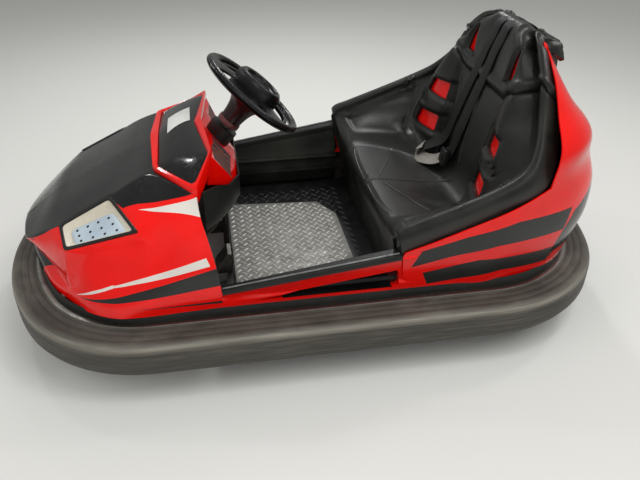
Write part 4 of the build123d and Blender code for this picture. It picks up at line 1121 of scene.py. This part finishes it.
# Seat: rows from the floor in front, over the cushion and up the back, to the back of the headrest.
# Columns: centre line x, z; pad half width; two points of the side wall; rim; thickness of the roll
SEAT_ROWS = (
    (-0.236, 0.136, 0.300, (-0.236, 0.345, 0.138), (-0.238, 0.385, 0.139), (-0.240, 0.420, 0.140), 0.020),
    (-0.232, 0.230, 0.300, (-0.232, 0.345, 0.232), (-0.230, 0.392, 0.240), (-0.224, 0.440, 0.250), 0.024),
    (-0.214, 0.318, 0.280, (-0.212, 0.330, 0.325), (-0.206, 0.400, 0.352), (-0.200, 0.490, 0.400), 0.028),
    (-0.226, 0.357, 0.262, (-0.222, 0.305, 0.366), (-0.214, 0.385, 0.388), (-0.205, 0.500, 0.436), 0.027),
    (-0.260, 0.364, 0.250, (-0.260, 0.298, 0.376), (-0.262, 0.376, 0.414), (-0.265, 0.500, 0.458), 0.027),
    (-0.350, 0.352, 0.228, (-0.350, 0.280, 0.368), (-0.352, 0.356, 0.424), (-0.365, 0.500, 0.492), 0.027),
    (-0.440, 0.338, 0.202, (-0.438, 0.245, 0.362), (-0.420, 0.320, 0.424), (-0.470, 0.497, 0.530), 0.027),
    (-0.512, 0.336, 0.182, (-0.500, 0.208, 0.380), (-0.474, 0.345, 0.430), (-0.545, 0.488, 0.562), 0.028),
    (-0.548, 0.372, 0.176, (-0.512, 0.206, 0.430), (-0.492, 0.352, 0.466), (-0.588, 0.468, 0.590), 0.028),
    (-0.562, 0.460, 0.176, (-0.527, 0.206, 0.484), (-0.509, 0.352, 0.514), (-0.612, 0.442, 0.618), 0.028),
    (-0.580, 0.545, 0.176, (-0.546, 0.207, 0.552), (-0.529, 0.344, 0.572), (-0.632, 0.408, 0.652), 0.028),
    (-0.600, 0.640, 0.178, (-0.572, 0.208, 0.640), (-0.558, 0.300, 0.656), (-0.650, 0.360, 0.702), 0.027),
    (-0.610, 0.690, 0.175, (-0.598, 0.212, 0.722), (-0.596, 0.262, 0.742), (-0.664, 0.315, 0.772), 0.026),
    (-0.620, 0.740, 0.160, (-0.614, 0.194, 0.765), (-0.622, 0.235, 0.779), (-0.670, 0.288, 0.800), 0.026),
    (-0.629, 0.790, 0.143, (-0.626, 0.176, 0.805), (-0.634, 0.205, 0.815), (-0.677, 0.250, 0.830), 0.026),
    (-0.642, 0.838, 0.118, (-0.641, 0.150, 0.846), (-0.649, 0.176, 0.849), (-0.688, 0.210, 0.856), 0.026),
    (-0.662, 0.878, 0.085, (-0.662, 0.108, 0.876), (-0.672, 0.130, 0.873), (-0.700, 0.162, 0.872), 0.025),
    (-0.688, 0.894, 0.080, (-0.690, 0.100, 0.891), (-0.698, 0.122, 0.886), (-0.712, 0.146, 0.880), 0.022),
    (-0.716, 0.882, 0.085, (-0.719, 0.100, 0.878), (-0.722, 0.120, 0.874), (-0.724, 0.142, 0.870), 0.022),
    (-0.724, 0.838, 0.100, (-0.726, 0.118, 0.836), (-0.727, 0.140, 0.833), (-0.728, 0.165, 0.830), 0.020),
)
CREASE_ROW = 12
CREASE_STEPS = (11.6, 11.7, 11.78, 11.84, 11.88, 11.91, 11.94, 11.97, 12, 12.03, 12.06, 12.09, 12.12, 12.16,
                12.22, 12.3)
SEAT_WALL = 0.016
BACKING_GAP = 0.0215
BACKREST_X = -0.40
# Where rays that meet the cushion start from above, and the backrest from in front
ABOVE_SEAT = 0.7
AHEAD_OF_BACK = 0.1
STUD_SIZE = (0.0055, 0.0055, 0.003)
STUD_CORNERS = ((0.194, 0.436), (0.194, 0.556), (0.136, 0.740))
PIPING_RADIUS = 0.0023

# Openings on the left half, as (y, z) corners seen from the front
SEAT_WINDOWS = (((0.206, 0.438), (0.209, 0.498), (0.334, 0.490), (0.340, 0.440)),
                ((0.206, 0.558), (0.209, 0.618), (0.316, 0.612), (0.328, 0.562)),
                ((0.148, 0.742), (0.190, 0.750), (0.188, 0.790), (0.172, 0.838), (0.162, 0.838)))
# Long grooves of the left wall: tip and end as (x, z), and the half height at each
SEAT_GROOVES = (((-0.255, 0.420), (-0.440, 0.436), 0.006, 0.024),
                ((-0.400, 0.503), (-0.490, 0.545), 0.006, 0.024))
# Backing behind the openings: rows from and to, and the half widths between which it lies
BACKINGS = ((7.4, 11.4, 0.195, 0.375), (12.4, 15.2, 0.13, 0.25))


def seat_section(row):
    """Points across the left half of the seat: pad, side wall, roll and outer side."""
    centre_x, centre_z, pad, wall_low, wall_high, rim, thick = row
    rim = np.array(rim)
    blend = fading(0.62 - rim[2], 0.12)
    ahead = np.array((0.25 + 0.5 * blend, 0, 1.0 - 0.34 * blend))
    ahead = ahead / np.linalg.norm(ahead) * thick
    out = np.array((0, thick, 0))
    centre = np.array((centre_x, 0, centre_z))
    outer = rim + out - ahead * 0.6
    return [centre, centre + (0, pad * 0.5, 0), centre + (0, pad, 0) + ahead * 0.2, np.array(wall_low),
            np.array(wall_high), rim - out * 1.25 - ahead * 0.9, rim - out * 0.75 + ahead * 0.25,
            rim + ahead * 0.55, rim + out * 0.75 + ahead * 0.2, outer, outer - ahead * 1.6 - out * 0.2]


def seat_relief(grid, places):
    """How far the skin stands out: crease below the headrest, hollows round the openings, long grooves."""
    x, y, z = (grid[..., k] for k in range(3))
    off = np.abs(places - CREASE_ROW)[:, None] * np.ones(x.shape)
    crease = 0.011 * np.exp(-(off / 0.09) ** 1.2)
    swell = 0.006 * np.exp(-((places - CREASE_ROW - 0.5) / 0.3) ** 2)[:, None]
    rise = np.where(y < 0.37, -crease + swell, 0)
    for outline in SEAT_WINDOWS:
        wide = [(p - 0.020 if p < 0.24 and outline[0][1] < 0.7 else p, q) for p, q in outline]
        rise -= np.where(x < BACKREST_X, 0.010 * fading(outside(wide, y, z), 0.018), 0)
    for (x0, z0), (x1, z1), slim, broad in SEAT_GROOVES:
        along = np.clip((x - x0) / (x1 - x0), 0, 1)
        line = z0 + (z1 - z0) * along
        gap = np.maximum(np.abs(z - line) - (slim + (broad - slim) * along), 0) + np.maximum(x - x0, 0)
        rise -= np.where((y > 0.30) & (y < 0.475) & (x > x1 - 0.03), 0.009 * fading(gap, 0.016), 0)
    return rise


def seat_grid():
    """Left half of the seat's smooth skin, the way it faces, and the row place of each line of points."""
    places = np.concatenate((np.arange(0, 3, 1 / 8), np.arange(3, 7, 1 / 10), np.arange(7, 11.55, 1 / 12),
                             CREASE_STEPS, np.arange(12.4, 19, 1 / 8), (19,)))
    grid = curve([seat_section(row) for row in SEAT_ROWS], places)
    grid = np.swapaxes(catmull(np.swapaxes(grid, 0, 1), 9), 0, 1)
    normal = np.cross(np.gradient(grid, axis=0), np.gradient(grid, axis=1))
    normal /= np.maximum(np.linalg.norm(normal, axis=2, keepdims=True), 1e-9)
    if normal[len(places) // 2, 0, 0] < 0:
        normal = -normal
    return grid, normal, places


def seat():
    """Moulded foam tub in one skin; returns its outer surface."""
    smooth, normal, places = seat_grid()
    grid = smooth + normal * seat_relief(smooth, places)[..., None]
    grid[:, 0, 1] = 0
    skin = sheet("seat_tub", both_sides(grid))
    facing_out(skin, (-0.75, 0, 0.3))
    hole = 1
    for outline in SEAT_WINDOWS:
        for sign in (1, -1):
            mark(skin, (1, 2), softened([(sign * p, q) for p, q in outline], 0.008), hole,
                 lambda face: face.calc_center_median().x < BACKREST_X)
    cut_out(skin, hole)
    surface = BVHTree.FromObject(skin, bpy.context.evaluated_depsgraph_get())
    walled(skin, SEAT_WALL)
    declare(skin, [FOAM],
            ["seat_cushion", "seat_back", "headrest", "seat_bolster_left", "seat_bolster_right"], 60)
    return skin, surface


def seat_backing():
    """Red backing that shows through the openings."""
    smooth, normal, places = seat_grid()
    inner = smooth - normal * BACKING_GAP
    backing = []
    for low, high, near, far in BACKINGS:
        rows = np.where((places >= low) & (places <= high))[0][::3]
        columns = [k for k in range(0, inner.shape[1], 2) if near < smooth[rows[len(rows) // 2], k, 1] < far]
        patch = sheet("backing", inner[np.ix_(rows, columns)])
        backing += [walled(mirrored(patch, "backing"), 0.002), walled(patch, 0.002)]
    declare(joined("seat_backing", backing), [RED])


def seat_studs(surface):
    """Studs at the corners of the openings, and one inside each side wall."""
    spots = []
    for sign in (1, -1):
        spots += laid(surface, [(AHEAD_OF_BACK, sign * y, z) for y, z in STUD_CORNERS], (-1, 0, 0))
    for sign in (1, -1):
        spots += laid(surface, [(-0.262, sign * 0.1, 0.422)], (0, sign, 0))
    repeat("seat_studs", spots, "stud", STUD_SIZE, TRIM_AND_SHADE)


def seat_piping(surface):
    """Piping of the cushion and the backrest, coloured pale as a painted highlight."""
    down, back = (0, 0, -1), (-1, 0, 0)
    share = np.linspace(0, 1, 24)
    lines = [([(x, 0, ABOVE_SEAT) for x in np.linspace(-0.226, -0.525, 30)], down),
             ([(AHEAD_OF_BACK, 0, z) for z in np.linspace(0.40, 0.655, 20)], back)]
    for sign in (1, -1):
        lines.append(([(-0.278 - 0.107 * t, sign * (0.03 + 0.23 * t), ABOVE_SEAT) for t in share], down))
        lines.append(([(AHEAD_OF_BACK, sign * (0.168 - 0.02 * sin(pi * t)), 0.40 + 0.25 * t)
                       for t in share], back))
        for shift in (0, 0.013):
            start, reach = 0.022 + 0.6 * shift, 0.225 - shift
            lines.append(([(-0.2235 - shift - 0.010 * t ** 3, sign * (start + reach * t), ABOVE_SEAT)
                           for t in share], down))
    welts = []
    for places, way in lines:
        path = [tuple(hit[0]) for hit in laid(surface, places, way, 0.001)]
        up = (0.02, 0.99, 0.1) if way == back else (0, 0, 1)
        welts.append(tube("welt", catmull(path, 2), PIPING_RADIUS, 6, up=up))
    declare(joined("seat_piping", welts), [PIPING_HIGHLIGHT])


tub, tub_surface = seat()
seat_backing()
seat_studs(tub_surface)
seat_piping(tub_surface)


# Rear moulding: half plans by height, as (y, x) from the front of the side to the centre line
REAR_ROWS = (
    (0.246, ((0.500, -0.250), (0.500, -0.380), (0.500, -0.500), (0.448, -0.690), (0.340, -0.805),
             (0.170, -0.864), (0, -0.880))),
    (0.330, ((0.518, -0.200), (0.520, -0.360), (0.518, -0.510), (0.455, -0.720), (0.338, -0.838),
             (0.170, -0.888), (0, -0.898))),
    (0.400, ((0.530, -0.180), (0.532, -0.360), (0.528, -0.520), (0.458, -0.742), (0.334, -0.862),
             (0.170, -0.900), (0, -0.906))),
    (0.480, ((0.532, -0.200), (0.532, -0.400), (0.526, -0.545), (0.455, -0.742), (0.326, -0.868),
             (0.165, -0.900), (0, -0.905))),
    (0.560, ((0.530, -0.300), (0.524, -0.480), (0.512, -0.600), (0.440, -0.740), (0.312, -0.850),
             (0.160, -0.888), (0, -0.894))),
    (0.640, ((0.515, -0.420), (0.500, -0.545), (0.482, -0.650), (0.425, -0.760), (0.318, -0.835),
             (0.160, -0.868), (0, -0.874))),
    (0.710, ((0.440, -0.500), (0.428, -0.580), (0.412, -0.655), (0.368, -0.732), (0.288, -0.782),
             (0.150, -0.810), (0, -0.816))),
    (0.780, ((0.375, -0.560), (0.366, -0.610), (0.350, -0.665), (0.315, -0.710), (0.255, -0.742),
             (0.135, -0.762), (0, -0.768))),
    (0.850, ((0.290, -0.620), (0.280, -0.645), (0.268, -0.675), (0.245, -0.698), (0.205, -0.714),
             (0.110, -0.728), (0, -0.732))),
)
# Where the side ends behind the seat, as (height, x)
REAR_EDGE = ((0.246, -0.250), (0.300, -0.216), (0.378, -0.208), (0.391, -0.216), (0.5395, -0.640),
             (0.600, -0.657), (0.710, -0.680), (0.850, -0.705))
REAR_TOP = np.array((-0.712, 0, 0.850))
REAR_STRIPES = (((-0.236, 0.334), (-0.262, 0.393), (-0.398, 0.428), (-0.348, 0.362)),
                ((-0.398, 0.428), (-0.546, 0.457), (-0.494, 0.386), (-0.348, 0.362)),
                ((-0.546, 0.457), (-0.740, 0.453), (-0.719, 0.383), (-0.494, 0.386)),
                ((-0.274, 0.308), (-0.441, 0.341), (-0.518, 0.284), (-0.293, 0.259)),
                ((-0.441, 0.341), (-0.727, 0.320), (-0.686, 0.270), (-0.518, 0.284)))
TAIL_PANEL = ((-1.0, 0.300), (-0.690, 0.300), (-0.722, 0.385), (-0.754, 0.435), (-0.836, 0.473),
              (-1.0, 0.530))


def rear_line(line, edge):
    """Evenly spaced points along a half plan, starting where it passes the edge of the side."""
    past = int(np.argmax(line[:, 0] <= edge))
    if past:
        t = (edge - line[past - 1, 0]) / (line[past, 0] - line[past - 1, 0])
        line = np.concatenate(([line[past - 1] * (1 - t) + line[past] * t], line[past:]))
    run = np.concatenate(([0], np.cumsum(np.linalg.norm(np.diff(line, axis=0), axis=1))))
    even = np.linspace(0, run[-1], 64)
    return np.stack([np.interp(even, run, line[:, k]) for k in range(3)], 1)


def rear_moulding():
    """Red rear body rising behind the seat, with its dark stripes and black tail panel."""
    plans = [catmull([(x, y, z) for y, x in half], 12) for z, half in REAR_ROWS]
    levels = [z for z, _ in REAR_ROWS]
    heights = np.concatenate((np.linspace(0.246, 0.300, 5)[:-1], np.linspace(0.300, 0.378, 6)[:-1], (0.378,),
                              np.linspace(0.391, 0.5395, 18), np.linspace(0.556, 0.850, 20)))
    lines = curve(plans, np.interp(heights, levels, range(len(levels))))
    edges = np.interp(heights, *zip(*REAR_EDGE))
    rows = [rear_line(line, edge)[::-1] for line, edge in zip(lines, edges)]
    last = rows[-1]
    for shrink, rise in ((0.93, 0.006), (0.75, 0.010), (0.4, 0.012), (0.02, 0.012)):
        rows.append(REAR_TOP + (last - REAR_TOP) * shrink + (0, 0, rise))
    skin = sheet("rear_moulding", both_sides(rows))
    facing_out(skin, (-0.5, 0, 0.4))
    stripe, tail, inside = 1, 2, 3
    for part in REAR_STRIPES:
        mark(skin, (0, 2), part, stripe, lambda face: abs(face.normal.y) > 0.2)
    mark(skin, (0, 2), TAIL_PANEL, tail)
    walled(skin, SHELL_WALL, inside)
    declare(skin, [RED, DARK_STRIPE_AND_SHADE, BLACK, INSIDE], ["rear_body", "tail_panel"], 45)


rear_moulding()


# Belts

SEAT_LEAN = radians(11.9)
BUCKLE_TURN = Matrix(((0, -sin(SEAT_LEAN), cos(SEAT_LEAN)), (1, 0, 0), (0, cos(SEAT_LEAN), sin(SEAT_LEAN))))
STRAP_HALF = 0.024
FOLD_HALF = 0.023
STRAP_CROWN = 0.0016
STRAP_WALL = 0.0022
# Route over the headrest to the anchor, as (x, z), and the way the strap faces there
OVER = ((-0.640, 0.842), (-0.655, 0.876), (-0.690, 0.892), (-0.735, 0.880), (-0.775, 0.850), (-0.795, 0.832))
OVER_WAYS = [(1, 0, 0.15), (1, 0, 0.6), (0.1, 0, 1), (-0.4, 0, 1), (-0.7, 0, 1), (-0.8, 0, 0.8)]
# Each strap: its free lower end, and its places up the backrest
FAR_END = [(-0.466, -0.205, 0.366), (-0.498, -0.182, 0.398)]
FAR_BACK = ((-0.50, -0.150, 0.450), (-0.57, -0.122, 0.540), (-0.59, -0.096, 0.640), (-0.61, -0.062, 0.745),
            (-0.62, -0.046, 0.800))
NEAR_END = [(-0.530, -0.078, 0.400)]
NEAR_BACK = ((-0.50, -0.062, 0.437), (-0.57, -0.040, 0.520), (-0.59, -0.022, 0.620), (-0.61, 0.008, 0.735),
             (-0.62, 0.020, 0.800))
LIFTS = (0.012, 0.008, 0.006, 0.005, 0.005)
# How far beside the middle each strap crosses the headrest
FAR_CROSSING = -0.034
NEAR_CROSSING = 0.030
FOLD = ((-0.520, -0.090, 0.386), (-0.500, -0.120, 0.366), (-0.478, -0.165, 0.354), (-0.462, -0.200, 0.356),
        (-0.468, -0.212, 0.374), (-0.486, -0.196, 0.396))
FOLD_WAYS = ((0.5, 0.3, 0.8), (0.5, 0.3, 0.8), (0.6, 0.2, 0.8), (1, -0.5, 0.5), (0.8, -0.6, 0.6),
             (0.8, -0.4, 0.5))
BUCKLE_PLACE = (-0.532, -0.072, 0.392)
BUTTON_PLACE = (-0.5145, -0.072, 0.398)


def strap(name, path, half, facing):
    """Woven strap along a path; facing says which way its face looks at each point."""
    path = catmull(np.array(path, float), 5)
    facing = catmull(np.array(facing, float), 5)
    ahead = np.gradient(path, axis=0)
    side = np.cross(ahead, facing)
    side /= np.linalg.norm(side, axis=1)[:, None]
    up = np.cross(side, ahead)
    up /= np.linalg.norm(up, axis=1)[:, None]
    width = np.linspace(-1, 1, 7)[None, :, None]
    grid = path[:, None] + side[:, None] * width * half + up[:, None] * STRAP_CROWN * (1 - width ** 2)
    return walled(sheet(name, grid), STRAP_WALL)


def hanging(surface, points):
    """Places on the backrest behind the points, lifted off it a little."""
    down_back = Vector((-1, 0, -0.2)).normalized()
    hits = [surface.ray_cast(Vector((x + 0.3, y, z + 0.06)), down_back)[0] for x, y, z in points]
    return [tuple(hit + Vector((lift, 0, 0))) for hit, lift in zip(hits, LIFTS)]


def belts():
    """Two straps over the headrest; the far one hangs in a loop and turns back to the buckle."""
    surface = BVHTree.FromObject(tub, bpy.context.evaluated_depsgraph_get())
    far_path = FAR_END + hanging(surface, FAR_BACK) + [(x, FAR_CROSSING, z) for x, z in OVER]
    near_path = NEAR_END + hanging(surface, NEAR_BACK) + [(x, NEAR_CROSSING, z) for x, z in OVER]
    far = strap("far_strap", far_path, STRAP_HALF, [(1, -0.2, 0.5)] * 2 + [(1, 0, 0.2)] * 5 + OVER_WAYS)
    near = strap("near_strap", near_path, STRAP_HALF, [(1, 0, 0.2)] * 6 + OVER_WAYS)
    declare(joined("belt_straps", [far, near]), [WEB], ["seat_belts"])
    declare(strap("belt_fold", FOLD, FOLD_HALF, FOLD_WAYS), [WORN_WEB])


def leaned(obj, place):
    """Turns a piece to the lean of the backrest and sets it in its place."""
    obj.data.transform(Matrix.Translation(place) @ BUCKLE_TURN.to_4x4())
    return obj


def belt_fittings():
    """Anchor block behind the headrest, and the buckle with its button."""
    anchor = box("belt_anchor", (-0.835, -0.060, 0.725), (-0.742, 0.060, 0.832), 0.012)
    declare(anchor, [TRIM_AND_SHADE], ["belt_bracket"])
    case = leaned(box("belt_lock", (-0.026, -0.030, 0.0), (0.026, 0.030, 0.018), 0.005), BUCKLE_PLACE)
    tidy(case)
    button = leaned(box("belt_button", (-0.012, -0.012, 0.0), (0.012, 0.012, 0.003), 0.001), BUTTON_PLACE)
    declare(joined("belt_lock", [case, button]), [TRIM_AND_SHADE], ["belt_buckle"])


belts()
belt_fittings()


# Carried-over parts of the model get their real finish

FINISHES = {
    "bumper_rim": STEEL, "chassis_frame": STEEL, "toe_board": TRIM_AND_SHADE, "accelerator_pedal": CAST,
    "rear_axle_carriers": STEEL, "steering_column": BRIGHT, "column_collar": TRIM_AND_SHADE, "drive_fork": STEEL,
    "drive_motor": CAST, "drive_carrier": ZINC, "drive_tyre": TYRE, "drive_hub": CAST,
    "rear_tyre_left": TYRE, "rear_tyre_right": TYRE, "rear_hub_left": CAST, "rear_hub_right": CAST,
}
for node, material in FINISHES.items():
    for slot in bpy.data.objects[node].material_slots:
        slot.material = material


# Stage: lamps with place, size, power, and whether glossy paint mirrors them

STUDIO = (("key", (-1.2, 1.8, 3.2), 2.2, 54, False), ("fill", (2.4, 1.6, 2.4), 2.5, 22, False),
          ("back", (0.2, -2.6, 2.6), 2.2, 22, False), ("front", (0.5, 3.2, 1.9), 1.8, 20, False),
          ("glint", (-0.9, 1.2, 3.0), 0.14, 5, True), ("far_glint", (1.6, -1.4, 2.8), 0.14, 6, True),
          ("back_glint", (-0.7, -2.0, 2.4), 0.30, 14, True), ("rear_glint", (-2.4, -0.4, 2.2), 0.30, 8, True))


STAGE_HALF = 6
LAMP_AIM = Vector((0, 0, 0.3))


def stage():
    """Pale floor, soft lamps and a plain world."""
    material, tree, inputs, _ = finish("pale_floor", "#c9c8c4", 0.75)
    rays = add(tree, "ShaderNodeLightPath")
    seen = add(tree, "ShaderNodeMath", [(0, rays["Is Camera Ray"]), (1, rays["Is Glossy Ray"])],
               operation="MAXIMUM")["Value"]
    shown = add(tree, "ShaderNodeMath", [(0, seen), (1, rays["Is Transmission Ray"])],
                operation="MAXIMUM")["Value"]
    tint = add(tree, "ShaderNodeMixRGB", [("Fac", shown)], Color1_="#a8a7a3", Color2_="#e4e4e0")["Color"]
    feed(tree, inputs, Base_Color=tint)
    corners = [(STAGE_HALF * x, STAGE_HALF * y, 0) for x, y in ((-1, -1), (1, -1), (1, 1), (-1, 1))]
    floor = solid("floor", corners, [(0, 1, 2, 3)])
    floor.data.materials.append(material)
    for name, place, size, power, glints in STUDIO:
        lamp = bpy.data.lights.new(name, "AREA")
        lamp.size = size
        lamp.energy = power
        obj = bpy.data.objects.new(name, lamp)
        obj.visible_glossy = glints
        bpy.context.scene.collection.objects.link(obj)
        aim = LAMP_AIM - Vector(place)
        obj.matrix_world = Matrix.Translation(place) @ aim.to_track_quat("-Z", "Y").to_matrix().to_4x4()
    world = bpy.data.worlds.new("plain_world")
    world.use_nodes = True
    background = world.node_tree.nodes["Background"].inputs
    background["Color"].default_value = linear("#d8d8d6")
    background["Strength"].default_value = 0.48
    bpy.context.scene.world = world
    bpy.context.scene.view_settings.view_transform = "Standard"


stage()
